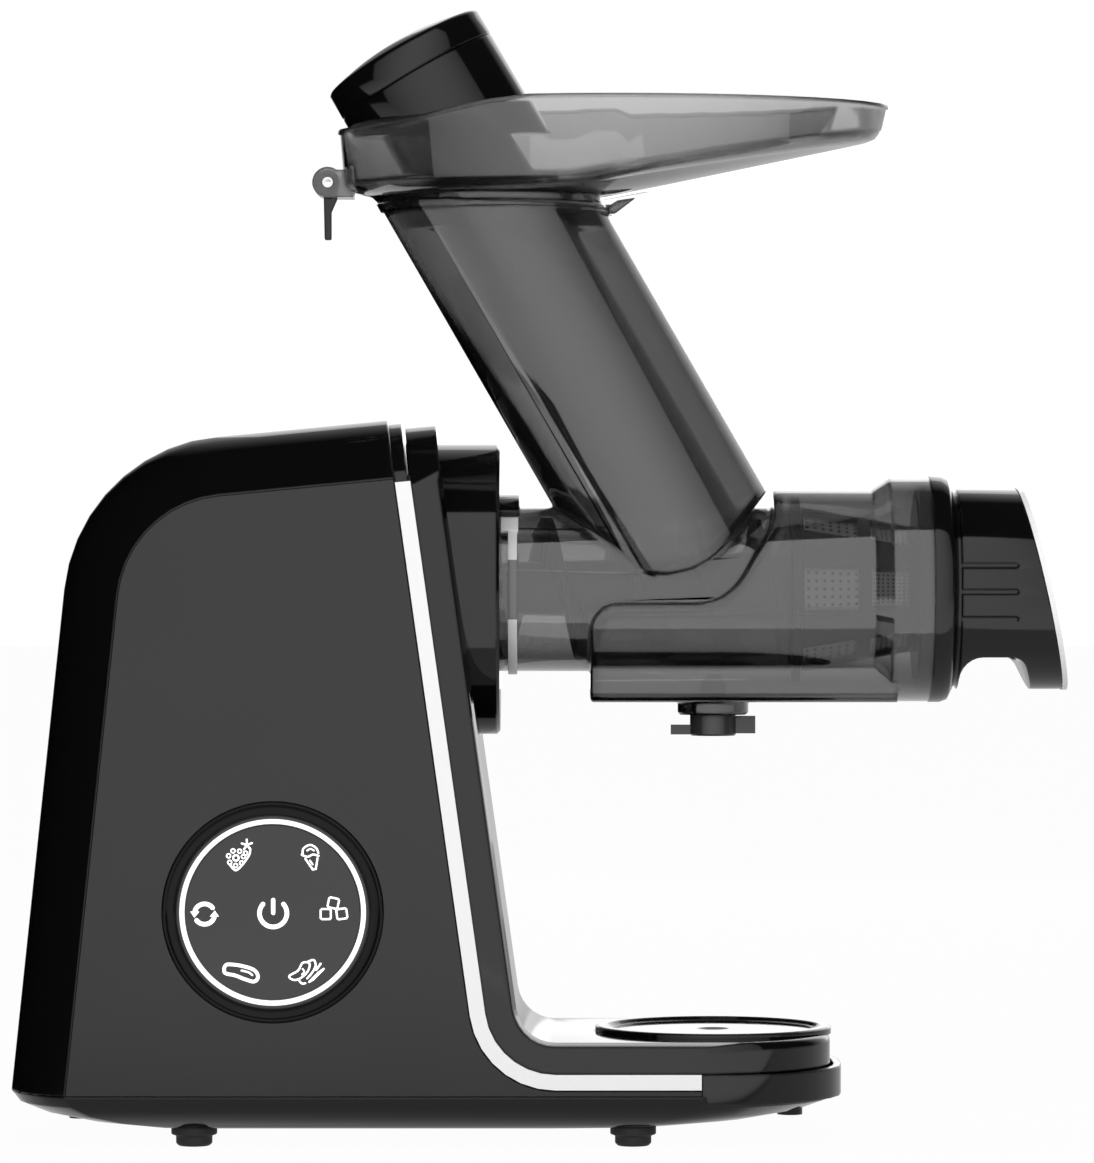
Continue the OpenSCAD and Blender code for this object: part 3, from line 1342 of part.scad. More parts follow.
base_plate();
base_screws();
rubber_foot(foot_places[0]);  // foot_back_left
rubber_foot(foot_places[1]);  // foot_back_right
rubber_foot(foot_places[2]);  // foot_front_left
rubber_foot(foot_places[3]);  // foot_front_right
rear_housing();
front_cover();
trim_carrier();
control_side_cover();
plain_side_cover();
trim_strip(-1);  // trim_strip_left
trim_strip(1);  // trim_strip_right
glass_rest();
cord_gland();
panel_bezel();
panel_light_ring();
touch_glass();
control_board();
power_board();
drum_collar();
release_button();
button_spring();
interlock_switch();
gearbox_case();
gearbox_cover();
gearbox_screws();
motor_stack();
motor_windings();
motor_front_frame();
motor_rear_frame();
motor_bearings();
motor_rotor();
motor_shaft();
cooling_fan();
motor_pinion();
layshaft_gear();
layshaft();
output_gear();
output_shaft();
output_bearing();
auger();
auger_shaft();
drum();
drum_lock_ring();
drum_seal();
strainer_frame();
strainer_screen();
nozzle_cap();
nozzle_face();
auger_tip_bush();
drip_valve();
valve_seal();
hopper();
latch_lever();
latch_pin();
pusher_body();
pusher_lid();
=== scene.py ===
import json
import math

import bpy
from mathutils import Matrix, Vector


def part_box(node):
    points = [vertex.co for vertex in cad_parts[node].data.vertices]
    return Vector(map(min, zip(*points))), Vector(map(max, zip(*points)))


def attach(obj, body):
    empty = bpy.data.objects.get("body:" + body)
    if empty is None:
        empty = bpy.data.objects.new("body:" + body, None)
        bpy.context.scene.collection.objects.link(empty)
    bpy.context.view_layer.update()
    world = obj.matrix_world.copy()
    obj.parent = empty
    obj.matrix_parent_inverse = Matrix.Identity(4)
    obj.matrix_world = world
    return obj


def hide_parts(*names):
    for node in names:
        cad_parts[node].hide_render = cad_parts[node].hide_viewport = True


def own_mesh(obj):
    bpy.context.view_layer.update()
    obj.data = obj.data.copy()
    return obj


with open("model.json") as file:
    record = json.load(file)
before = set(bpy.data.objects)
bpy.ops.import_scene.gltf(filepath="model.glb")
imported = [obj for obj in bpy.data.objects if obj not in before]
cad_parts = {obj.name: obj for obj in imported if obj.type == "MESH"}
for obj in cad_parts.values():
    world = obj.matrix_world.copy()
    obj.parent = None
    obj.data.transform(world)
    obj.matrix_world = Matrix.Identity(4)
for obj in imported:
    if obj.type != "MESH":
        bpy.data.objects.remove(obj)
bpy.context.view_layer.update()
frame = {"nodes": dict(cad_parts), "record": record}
nodes = frame["nodes"]
print("frame loaded:", len(nodes), "nodes")

shot = {
    "place": (0.00195, -2.0, 0.2017),   # on the height of the drum's axis
    "sensor": 36.0,
    "lens": 169.6,                      # frames 0.4245 m of height at the drum's axis
}

camera = bpy.data.objects.new("camera", bpy.data.cameras.new("camera"))
camera.data.sensor_width = shot["sensor"]
camera.data.lens = shot["lens"]
camera.location = shot["place"]
camera.rotation_euler = (math.radians(90), 0, 0)
bpy.context.scene.collection.objects.link(camera)
bpy.context.scene.camera = camera
bpy.context.scene.view_settings.view_transform = "Standard"


class Wire:
    # an output socket that takes part in sums
    def __init__(self, finish, socket):
        self.finish = finish
        self.socket = socket

    def join(self, operation, first, second):
        return self.finish.node("Math", {"operation": operation}, {0: first, 1: second})

    def __gt__(self, other):
        return self.join("GREATER_THAN", self, other)

    def __lt__(self, other):
        return self.join("GREATER_THAN", other, self)

    def __add__(self, other):
        return self.join("ADD", self, other)

    def __radd__(self, other):
        return self.join("ADD", other, self)

    def __sub__(self, other):
        return self.join("SUBTRACT", self, other)

    def __rsub__(self, other):
        return self.join("SUBTRACT", other, self)

    def __mul__(self, other):
        return self.join("MULTIPLY", self, other)

    def __rmul__(self, other):
        return self.join("MULTIPLY", other, self)

    def __truediv__(self, other):
        return self.join("DIVIDE", self, other)

    def __rtruediv__(self, other):
        return self.join("DIVIDE", other, self)


class Finish:
    # the nodes of one material or of the world
    def __init__(self, name, tree=None):
        if tree is None:
            self.material = bpy.data.materials.new(name)
            self.material.use_nodes = True
            tree = self.material.node_tree
        self.tree = tree
        tree.nodes.clear()

    def node(self, kind, settings=None, values=None, output=0):
        made = self.tree.nodes.new("ShaderNode" + kind)
        for key, value in (settings or {}).items():
            setattr(made, key, value)
        for key, value in (values or {}).items():
            socket = made.inputs[key]
            if isinstance(value, Wire):
                self.tree.links.new(value.socket, socket)
            else:
                socket.default_value = value
        return Wire(self, made.outputs[output])

    def show(self, surface, kind="Material", inside=None):
        end = self.tree.nodes.new("ShaderNodeOutput" + kind)
        self.tree.links.new(surface.socket, end.inputs["Surface"])
        if inside:
            self.tree.links.new(inside.socket, end.inputs["Volume"])


def grey(value):
    return (value, value, value, 1)


studio = {
    "softbox": [
        # name, place, looks at, width, height, radiance, falloff to its sides, seen by gloss, by matt
        ("frontBox", (0.0, -0.95, 1.0), (0.0, 0.0, 1.0), 2.8, 2.0, 1.6, 0.85, True, True),
        ("frontCard", (0.0, -0.58, 0.002), (0.0, -0.58, 1.0), 2.8, 0.74, 1.6, 0.85, True, False),
        ("topBox", (0.0, 0.1, 1.5), (0.0, 0.0, 0.2), 1.2, 0.8, 1.1, 0.0, False, True),
        ("backBox", (0.3, 1.6, 0.7), (0.0, 0.0, 0.2), 1.2, 1.2, 0.9, 0.0, True, True),
    ],
    "ambient": 0.28,                    # world as diffuse surfaces see it
    "around": 0.02,                     # world as gloss sees it beside the backdrop
    "backdrop": (0.48, 0.88),           # gloss sees it from here on backwards, as Y of a direction
    "backdropLeft": (-0.32, 0.12),      # and from here on to the right, as X of a direction
    "table": 0.6,                       # the floor under the object as gloss sees it
    "tableCorner": (-0.26, -0.21),      # which starts at this X and Y
    "floorSize": 30.0,
    "floorColour": 0.8,
    "floorWhite": 0.97,                 # how much of the floor is plain white, the rest takes shadow
}


def fade(made, value, limits, low=0.0, high=1.0):
    # runs from low to high while the value runs between its limits
    return made.node("MapRange", {}, {"Value": value, "From Min": limits[0], "From Max": limits[1],
                                      "To Min": low, "To Max": high})


def spotOf(made, axis=None, kind="Object"):
    # where a point lies in the frame, or only its place along one axis
    spot = made.node("TexCoord", {}, {}, kind)
    return made.node("SeparateXYZ", {}, {0: spot}, axis) if axis else spot


def rayKinds(made):
    # one mask for rays that look straight at or through things, one for reflections
    seen, through, shine = (made.node("LightPath", {}, {}, kind)
                            for kind in ("Is Camera Ray", "Is Transmission Ray", "Is Glossy Ray"))
    return made.node("Math", {"operation": "MAXIMUM"}, {0: seen, 1: through}), shine


def makeLights():
    for name, place, target, width, height, radiance, falloff, inGloss, onMatt in studio["softbox"]:
        lamp = bpy.data.lights.new(name, "AREA")
        lamp.shape = "RECTANGLE"
        lamp.size = width
        lamp.size_y = height
        lamp.energy = radiance * math.pi * width * height
        lamp.use_nodes = True
        glass = Finish(name, lamp.node_tree)
        across = glass.node("SeparateXYZ", {}, {0: glass.node("NewGeometry", {}, {}, "Parametric")}, "X")
        side = (across - 0.5) * width
        strength = 1.0 / (side * side * falloff + 1.0)
        glass.show(glass.node("Emission", {}, {"Color": grey(1), "Strength": strength}), "Light")
        box = bpy.data.objects.new(name, lamp)
        box.location = place
        aim = Vector(target) - Vector(place)
        box.rotation_euler = aim.to_track_quat("-Z", "Y").to_euler()
        box.visible_camera = False
        box.visible_transmission = False
        box.visible_glossy = inGloss
        box.visible_diffuse = onMatt
        bpy.context.scene.collection.objects.link(box)


def makeWorld():
    world = bpy.data.worlds.new("studio")
    world.use_nodes = True
    bpy.context.scene.world = world
    air = Finish("studio", world.node_tree)
    clear, shine = rayKinds(air)
    behind = fade(air, spotOf(air, "Y", "Generated"), studio["backdrop"], studio["around"])
    right = fade(air, spotOf(air, "X", "Generated"), studio["backdropLeft"])
    hidden = 1 - clear
    strength = clear + shine * hidden * behind * right + studio["ambient"] * hidden * (1 - shine)
    air.show(air.node("Background", {}, {"Color": grey(1), "Strength": strength}), "World")


def makeFloor():
    half = studio["floorSize"] / 2
    corners = [(-half, -half, 0), (half, -half, 0), (half, half, 0), (-half, half, 0)]
    mesh = bpy.data.meshes.new("floor")
    mesh.from_pydata(corners, [], [(0, 1, 2, 3)])
    floor = bpy.data.objects.new("floor", mesh)
    bpy.context.scene.collection.objects.link(floor)
    paint = Finish("floorPaint")
    clear, shine = rayKinds(paint)
    left, front = studio["tableCorner"]
    table = (spotOf(paint, "X") > left) * (spotOf(paint, "Y") > front) * studio["table"]
    matt = paint.node("BsdfDiffuse", {}, {"Color": grey(studio["floorColour"])})
    white = paint.node("Emission", {}, {"Color": grey(1), "Strength": clear + shine * table})
    share = clear * studio["floorWhite"] + shine
    paint.show(paint.node("MixShader", {}, {0: share, 1: matt, 2: white}))
    mesh.materials.append(paint.material)


makeLights()
makeWorld()
makeFloor()
print("studio made")


def noise(made, size, detail, spot=None):
    values = {"Vector": spot or spotOf(made), "Scale": size, "Detail": detail}
    return made.node("TexNoise", {}, values, "Fac")


def patchy(made, middle, spread, size=28, detail=4):
    # gloss that changes a little from place to place
    return noise(made, size, detail) * (2 * spread) + (middle - spread)


def bump(made, height, depth, normal=None):
    values = {"Height": height, "Strength": 1.0, "Distance": depth}
    if normal:
        values["Normal"] = normal
    return made.node("Bump", {}, values)


def blend(made, share, first, second):
    return made.node("Mix", {"data_type": "RGBA"}, {0: share, 6: grey(first), 7: grey(second)}, 2)


def plastic(name, colour, roughness, spread=0.03, grain=0.0, grainSize=0.0006, wave=0.0,
            shine=0.5, edge=0.0):
    # moulded plastic: patchy gloss, fine grain, the slight wave of a flat moulding, eased edges
    made = Finish(name)
    tint = grey(colour) if isinstance(colour, float) else (*colour, 1)
    values = {"Base Color": tint, "Roughness": patchy(made, roughness, spread), "IOR": 1.5,
              "Specular IOR Level": shine}
    normal = made.node("Bevel", {"samples": 4}, {"Radius": edge}) if edge else None
    for size, depth, detail in ((1 / grainSize, grain, 2), (22, wave, 1)):
        if depth:
            normal = bump(made, noise(made, size, detail), depth, normal)
    if normal:
        values["Normal"] = normal
    made.show(made.node("BsdfPrincipled", {}, values))
    return made.material


lockRing = {
    "dullBand": (0.188, 0.2095),             # heights between which it is dull
    "bright": 0.72,
    "dull": 0.16,
    "roughness": 0.2,
}


def lockRingFinish():
    # bright above and below, duller in a band of heights across the middle
    made = Finish("ringSilver")
    low, high = lockRing["dullBand"]
    # the colour turns duller between the two heights of this band
    dullBand = made.node("Math", {"operation": "COMPARE"},
                    {0: spotOf(made, "Z"), 1: (low + high) / 2, 2: (high - low) / 2})
    made.show(made.node("BsdfPrincipled", {}, {
        "Base Color": blend(made, dullBand, lockRing["bright"], lockRing["dull"]),
        "Roughness": patchy(made, lockRing["roughness"], 0.04)}))
    return made.material


def metal(name, colour, roughness, scratch=0.00001, along=(1, 1, 1), spread=0.06):
    # metal with fine scratches drawn out along one direction
    made = Finish(name)
    drawn = made.node("Mapping", {}, {"Vector": spotOf(made), "Scale": along})
    made.show(made.node("BsdfPrincipled", {}, {
        "Base Color": (*colour, 1), "Metallic": 1.0,
        "Roughness": patchy(made, roughness, spread, 60, 3),
        "Normal": bump(made, noise(made, 900, 3, drawn), scratch)}))
    return made.material


smoky = {
    "tint": 0.75,                       # what passes a thin wall
    "thickTint": 0.42,                  # how much of that passes the sump's heavy floor
    "thick": (0.166, 0.178),            # heights between which the floor thins out
    "density": 300,                     # loss of light inside the wall
    "milk": 0.01,
    "roughness": 0.01,
    "edge": 0.0019,                     # how far edges are eased
    "swell": 0.00004,                   # depth of the moulding's waves
}


def smokeFinish():
    # tinted clear plastic, darker the further one looks through it and in the floor of the sump
    made = Finish("clearSmoke")
    thin = fade(made, spotOf(made, "Z"), smoky["thick"], smoky["thickTint"])
    eased = made.node("Bevel", {"samples": 6}, {"Radius": smoky["edge"]})
    made.show(made.node("BsdfPrincipled", {}, {
        "Base Color": blend(made, thin, 0, smoky["tint"]), "Roughness": smoky["roughness"],
        "IOR": 1.49, "Transmission Weight": 1.0 - smoky["milk"], "Specular IOR Level": 1.0,
        "Coat Weight": 1.0, "Coat Roughness": 0.01,
        "Normal": bump(made, noise(made, 30, 1), smoky["swell"], eased)}),
        inside=made.node("VolumeAbsorption", {},
                         {"Color": grey(0), "Density": smoky["density"]}, "Volume"))
    return made.material


def enamel(name, colour):
    # wound wire in lacquer: fine ridges round the ring
    made = Finish(name)
    ridges = made.node("TexWave", {"bands_direction": "X"},
                       {"Vector": spotOf(made), "Scale": 380, "Distortion": 1.5}, "Fac")
    made.show(made.node("BsdfPrincipled", {}, {
        "Base Color": (*colour, 1), "Metallic": 0.7, "Roughness": 0.35, "Coat Weight": 0.5,
        "Normal": bump(made, ridges, 0.0002)}))
    return made.material


lightGuide = {
    "strength": 0.7,
    "white": 0.9,
    "rim": (0.03285, 0.03315),          # the ring's light fades out between these radii
    "rimColour": 0.012,
}


def glow(name, ring=None):
    # lit plastic; on the ring only the inner band is lit
    made = Finish(name)
    values = {"Base Color": grey(lightGuide["white"]), "Roughness": 0.35, "Emission Color": grey(1),
              "Emission Strength": lightGuide["strength"]}
    if ring:
        low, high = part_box(ring)
        middle = (low + high) / 2
        flat = made.node("VectorMath", {"operation": "MULTIPLY"}, {0: spotOf(made), 1: (1, 0, 1)})
        away = made.node("VectorMath", {"operation": "DISTANCE"},
                         {0: flat, 1: (middle.x, 0, middle.z)}, "Value")
        dark = fade(made, away, lightGuide["rim"])
        values["Base Color"] = blend(made, dark, lightGuide["white"], lightGuide["rimColour"])
        values["Emission Color"] = blend(made, dark, 1, 0)
    made.show(made.node("BsdfPrincipled", {}, values))
    return made.material


finishes = {
    "base_black": plastic("baseBlack", 0.006, 0.34, grain=0.00002, grainSize=0.0005, shine=0.22),
    "gloss_black": plastic("glossBlack", 0.003, 0.06, 0.02, wave=0.00003, shine=0.4, edge=0.001),
    "cover_black": plastic("coverBlack", 0.003, 0.06, 0.02, wave=0.00003, shine=0.4, edge=0.0012),
    "side_grey": plastic("sideGrey", 0.009, 0.40, 0.04, grain=0.000012, grainSize=0.0004, shine=0.42),
    "trim_silver": plastic("trimSilver", 0.86, 0.22, 0.04),
    "ring_silver": lockRingFinish(),
    "light_white": glow("lightGuide"),
    "ring_light": glow("ringGuide", "panel_light_ring"),
    "bezel_black": plastic("bezelBlack", 0.003, 0.1, 0.02, shine=0.14, edge=0.0008),
    "valve_black": plastic("valveBlack", 0.03, 0.24, 0.03, grain=0.00001),
    "touch_black": plastic("touchBlack", 0.01, 0.12, 0.03),
    "foot_rubber": plastic("footRubber", 0.012, 0.62, grain=0.00005, grainSize=0.0008),
    "seal_grey": plastic("sealGrey", 0.24, 0.45, grain=0.00002),
    "steel": metal("groundSteel", (0.62, 0.62, 0.63), 0.26, along=(0.08, 1, 1)),
    "screen_steel": metal("screenSteel", (0.55, 0.55, 0.56), 0.3),
    "cast_alloy": metal("castAlloy", (0.56, 0.56, 0.57), 0.5, 0.00006),
    "lamination": metal("lamination", (0.24, 0.24, 0.25), 0.42, 0.00005, (1.0, 0.02, 0.02)),
    "copper": enamel("copperWire", (0.62, 0.26, 0.1)),
    "bronze": metal("bronze", (0.62, 0.43, 0.2), 0.36),
    "gear_white": plastic("gearNylon", 0.72, 0.36, 0.05),
    "board_green": plastic("boardGreen", (0.02, 0.14, 0.06), 0.3, 0.05),
    "auger_black": plastic("augerBlack", 0.04, 0.3, 0.05, grain=0.00001),
    "clear_smoke": smokeFinish(),
}
ownFinish = {"front_cover": "cover_black", "base_plate": "cover_black", "panel_bezel": "bezel_black",
             "panel_light_ring": "ring_light", "drip_valve": "valve_black"}
slotOf = {row["node"]: row["material_slot"] for row in frame["record"]["subparts"]}
for name, piece in nodes.items():
    piece.data.materials.clear()
    piece.data.materials.append(finishes[ownFinish.get(name, slotOf[name])])
print("finishes made:", len(finishes))


edges = {
    # node: facets run on smoothly up to this angle, edges from this angle are rounded, by this width
    "base_plate": (28, None, None), "control_side_cover": (30, None, None),
    "plain_side_cover": (30, None, None), "rear_housing": (32, None, None),
    "trim_carrier": (32, None, None), "trim_strip_left": (30, None, None),
    "trim_strip_right": (30, None, None), "glass_rest": (20, None, None),
    "auger": (38, None, None), "button_spring": (70, None, None),
    "front_cover": (32, 34, 0.003), "drum_collar": (30, 40, 0.0009), "panel_bezel": (30, 35, 0.0004),
    "release_button": (30, 40, 0.0006), "drum": (30, 38, 0.0011), "drum_lock_ring": (30, 40, 0.0006),
    "nozzle_cap": (30, 40, 0.0005), "drip_valve": (30, 40, 0.0004), "hopper": (34, 50, 0.0007),
    "pusher_lid": (30, 40, 0.0012), "pusher_body": (30, 40, 0.0006), "latch_lever": (30, 40, 0.0003),
    "cord_gland": (30, 40, 0.0006), "foot_back_left": (30, 40, 0.0006),
    "foot_back_right": (30, 40, 0.0006), "foot_front_left": (30, 40, 0.0006),
    "foot_front_right": (30, 40, 0.0006),
}

rounding = {
    "weld": 0.000004,                   # corners closer than this are one
    "flat": 0.7,                        # facets that bend less than this are one, in degrees
    "segments": 3,
    "fullWidth": {"drum": (-0.03, 0.1215)},       # also where facets are narrow, between these X
    "flatFaced": ("front_cover", "drum_collar"),  # wide faces stay flat up to their rounded edges
}


def meshGroup(name):
    group = bpy.data.node_groups.new(name, "GeometryNodeTree")
    for way in ("INPUT", "OUTPUT"):
        group.interface.new_socket("Geometry", in_out=way, socket_type="NodeSocketGeometry")
    return group, group.nodes.new("NodeGroupInput"), group.nodes.new("NodeGroupOutput")


def smoothGroup(angle):
    group, begin, end = meshGroup("smooth%d" % angle)
    faces = group.nodes.new("GeometryNodeSetShadeSmooth")
    sharp = group.nodes.new("GeometryNodeSetShadeSmooth")
    sharp.domain = "EDGE"
    bend = group.nodes.new("GeometryNodeInputMeshEdgeAngle")
    small = group.nodes.new("FunctionNodeCompare")
    small.data_type = "FLOAT"
    small.operation = "LESS_EQUAL"
    small.inputs[1].default_value = math.radians(angle)
    join = group.links.new
    join(bend.outputs["Unsigned Angle"], small.inputs[0])
    join(begin.outputs[0], faces.inputs["Geometry"])
    join(faces.outputs[0], sharp.inputs["Geometry"])
    join(small.outputs[0], sharp.inputs["Shade Smooth"])
    join(sharp.outputs[0], end.inputs[0])
    return group


def weightGroup(bend, low, high):
    # marks the sharp edges between two places along X for a rounding of its full width
    group, begin, end = meshGroup("sharpEdges")
    store = group.nodes.new("GeometryNodeStoreNamedAttribute")
    store.domain = "EDGE"
    store.data_type = "FLOAT"
    store.inputs["Name"].default_value = "bevel_weight_edge"
    angle = group.nodes.new("GeometryNodeInputMeshEdgeAngle")
    place = group.nodes.new("GeometryNodeInputPosition")
    split = group.nodes.new("ShaderNodeSeparateXYZ")
    sharp, near, both = (group.nodes.new("ShaderNodeMath") for _ in range(3))
    sharp.operation, near.operation, both.operation = "GREATER_THAN", "COMPARE", "MULTIPLY"
    sharp.inputs[1].default_value = math.radians(bend)
    near.inputs[1].default_value = (low + high) / 2
    near.inputs[2].default_value = (high - low) / 2
    join = group.links.new
    join(angle.outputs["Unsigned Angle"], sharp.inputs[0])
    join(place.outputs[0], split.inputs[0])
    join(split.outputs["X"], near.inputs[0])
    join(sharp.outputs[0], both.inputs[0])
    join(near.outputs[0], both.inputs[1])
    join(begin.outputs[0], store.inputs["Geometry"])
    join(both.outputs[0], store.inputs["Value"])
    join(store.outputs[0], end.inputs[0])
    return group


def easeEdges(piece, bend, width, stretch):
    merge = piece.modifiers.new("merge", "DECIMATE")
    merge.decimate_type = "DISSOLVE"
    merge.angle_limit = math.radians(rounding["flat"])
    if stretch:
        mark = piece.modifiers.new("mark", "NODES")
        mark.node_group = weightGroup(bend, *stretch)
    ease = piece.modifiers.new("rounding", "BEVEL")
    ease.limit_method = "WEIGHT" if stretch else "ANGLE"
    ease.angle_limit = math.radians(bend)
    ease.width = width
    ease.segments = rounding["segments"]
    ease.use_clamp_overlap = not stretch
    ease.miter_outer = "MITER_ARC"


smoothGroups = {angle: smoothGroup(angle) for angle in sorted({row[0] for row in edges.values()})}
for name, (angle, bend, width) in edges.items():
    piece = nodes[name]
    if "custom_normal" in piece.data.attributes:
        piece.data.attributes.remove(piece.data.attributes["custom_normal"])
    weld = piece.modifiers.new("weld", "WELD")
    weld.merge_threshold = rounding["weld"]
    if width:
        easeEdges(piece, bend, width, rounding["fullWidth"].get(name))
    smooth = piece.modifiers.new("smooth", "NODES")
    smooth.node_group = smoothGroups[angle]
    if name in rounding["flatFaced"]:
        weigh = piece.modifiers.new("weigh", "WEIGHTED_NORMAL")
        weigh.keep_sharp = True
print("edges softened")


bodyOf = {name: body for body, names in frame["record"]["behaviour"]["bodies"].items() for name in names}


def newPiece(name, vertices, faces, rides, looks, replaced=None, smoothAngle=None):
    # rides on the body of one node, with the slot and the finish of another
    body, slot = bodyOf[rides], slotOf[looks]
    mesh = bpy.data.meshes.new(name)
    mesh.from_pydata(vertices, [], faces)
    mesh.validate()
    piece = bpy.data.objects.new(name, mesh)
    bpy.context.scene.collection.objects.link(piece)
    mesh.materials.append(finishes[slot])
    if smoothAngle:
        mesh.shade_smooth()
        mesh.set_sharp_from_angle(angle=math.radians(smoothAngle))
    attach(piece, body)
    if replaced:
        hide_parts(replaced)
    return piece


def coneOf(name):
    # radii of a turned sheet at its two ends, and the places of the ends along X
    low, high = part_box(name)
    axisZ = (low.z + high.z) / 2
    rim = {}
    for vertex in nodes[name].data.vertices:
        x, radius = round(vertex.co.x, 5), math.hypot(vertex.co.y, vertex.co.z - axisZ)
        rim[x] = max(rim.get(x, 0), radius)
    ends = min(rim), max(rim)
    return ends, (rim[ends[0]], rim[ends[1]]), axisZ


screen = {
    # fields of holes: places along X from the wide end, holes along and around, size of a hole
    "coarse": {"from": 0.0035, "to": 0.0238, "columns": 7, "rows": 5, "halfWidth": 0.0075, "hole": 0.24},
    "fine": {"from": 0.0280, "to": 0.0424, "columns": 8, "rows": 8, "halfWidth": 0.0068, "hole": 0.26},
    "sheet": 0.0004,
    "sectors": 6,
    "firstSector": 30,                  # in degrees from the top
    "steps": 72,                        # facets round the plain bands
}


def makeScreen():
    # punched sheet rolled into a cone: fields of round holes behind the frame's windows
    (x0, x1), (r0, r1), axisZ = coneOf("strainer_screen")
    vertices, faces = [], []

    def put(x, angle):
        radius = r0 + (r1 - r0) * (x - x0) / (x1 - x0)
        turn = math.radians(angle)
        vertices.append((x, -radius * math.sin(turn), axisZ + radius * math.cos(turn)))
        return len(vertices) - 1

    def plain(xa, xb, steps, begin=0.0, end=360.0):
        rows = [[put(x, begin + (end - begin) * i / steps) for i in range(steps + 1)] for x in (xa, xb)]
        for i in range(steps):
            faces.append((rows[0][i], rows[1][i], rows[1][i + 1], rows[0][i + 1]))

    def punched(xa, xb, aa, ab, hole):
        # one square of sheet with an eight-sided hole
        xm, am = (xa + xb) / 2, (aa + ab) / 2
        around = [(xa, aa), (xm, aa), (xb, aa), (xb, am), (xb, ab), (xm, ab), (xa, ab), (xa, am)]
        outer = [put(x, a) for x, a in around]
        inner = []
        for i in range(8):
            turn = math.radians(225 + 45 * i)
            inner.append(put(xm + (xb - xa) * hole * math.cos(turn),
                             am + (ab - aa) * hole * math.sin(turn)))
        for i in range(8):
            j = (i + 1) % 8
            faces.append((outer[i], outer[j], inner[j], inner[i]))

    edge = x0
    for field in (screen["coarse"], screen["fine"]):
        xa, xb = x0 + field["from"], x0 + field["to"]
        plain(edge, xa, screen["steps"])
        edge = xb
        half = math.degrees(field["halfWidth"] / r0)
        pitch = 360 / screen["sectors"]
        for k in range(screen["sectors"]):
            centre = screen["firstSector"] + k * pitch
            plain(xa, xb, 4, centre + half, centre + pitch - half)
            for i in range(field["columns"]):
                for j in range(field["rows"]):
                    stepX, stepA = (xb - xa) / field["columns"], 2 * half / field["rows"]
                    punched(xa + i * stepX, xa + (i + 1) * stepX,
                            centre - half + j * stepA, centre - half + (j + 1) * stepA, field["hole"])
    plain(edge, x1, screen["steps"])
    sheet = newPiece("punched_screen", vertices, faces, "strainer_screen", "strainer_screen",
                     "strainer_screen")
    thick = sheet.modifiers.new("sheet", "SOLIDIFY")
    thick.thickness = screen["sheet"]
    thick.offset = -1
    print("screen made:", len(faces), "faces")


def tube(path, radius, sides):
    # round wire along a path, with domed ends
    vertices, faces = [], []
    up = Vector((1, 0, 0))
    for i, point in enumerate(path):
        along = (path[min(i + 1, len(path) - 1)] - path[max(i - 1, 0)]).normalized()
        side = along.cross(up).normalized()
        rise = side.cross(along)
        for j in range(sides):
            turn = 2 * math.pi * j / sides
            vertices.append(point + side * (radius * math.cos(turn)) + rise * (radius * math.sin(turn)))
    for i in range(len(path) - 1):
        for j in range(sides):
            k = (j + 1) % sides
            faces.append((i * sides + j, i * sides + k, (i + 1) * sides + k, (i + 1) * sides + j))
    for last in (False, True):
        tip, inner = (path[-1], path[-2]) if last else (path[0], path[1])
        start = (len(path) - 1) * sides if last else 0
        vertices.append(tip + (tip - inner).normalized() * radius * 0.5)
        for j in range(sides):
            k = (j + 1) % sides
            ring = (start + j, start + k) if last else (start + k, start + j)
            faces.append((*ring, len(vertices) - 1))
    return [tuple(v) for v in vertices], faces


spring = {
    "wire": 0.00035,                    # radius of the wire
    "turns": 6,                         # open turns
    "endTurns": 1.0,                    # closed turn at each end
    "stepsPerTurn": 28,
    "sides": 10,
    "travel": 0.004,                    # how far the button presses it together
    "closed": 2.05,                     # pitch of the closed turns, in radii of the wire
    "smooth": 40,
}


def makeSpring():
    # pressure spring with closed ends behind the release button
    low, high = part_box("button_spring")
    wire = spring["wire"]
    coil = (high.y - low.y) / 2 - wire
    midY, midZ = (low.y + high.y) / 2, (low.z + high.z) / 2
    begin, end = low.x + wire, high.x - wire
    total = spring["turns"] + 2 * spring["endTurns"]
    flat = spring["endTurns"] * wire * spring["closed"]
    path = []
    count = int(total * spring["stepsPerTurn"])
    for i in range(count + 1):
        turn = total * i / count
        if turn < spring["endTurns"]:
            x = begin + flat * turn / spring["endTurns"]
        elif turn > total - spring["endTurns"]:
            x = end - flat * (total - turn) / spring["endTurns"]
        else:
            share = (turn - spring["endTurns"]) / spring["turns"]
            x = begin + flat + (end - begin - 2 * flat) * share
        angle = 2 * math.pi * turn
        path.append(Vector((x, midY + coil * math.cos(angle), midZ + coil * math.sin(angle))))
    vertices, faces = tube(path, wire, spring["sides"])
    coilPiece = newPiece("release_spring", vertices, faces, "button_spring", "button_spring",
                         "button_spring", spring["smooth"])
    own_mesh(coilPiece)
    print("spring made:", len(faces), "faces")


symbols = {
    "height": 0.00005,                  # how far the lit print stands on the glass
    "line": 0.7,                        # usual width of a line, in mm
    "powerDrop": 0.5,                   # the middle sign sits this far below the ring's centre
}


def arc(cx, cz, radius, start, end, steps):
    turns = [math.radians(start + (end - start) * i / steps) for i in range(steps + 1)]
    return [(cx + radius * math.cos(t), cz + radius * math.sin(t)) for t in turns]


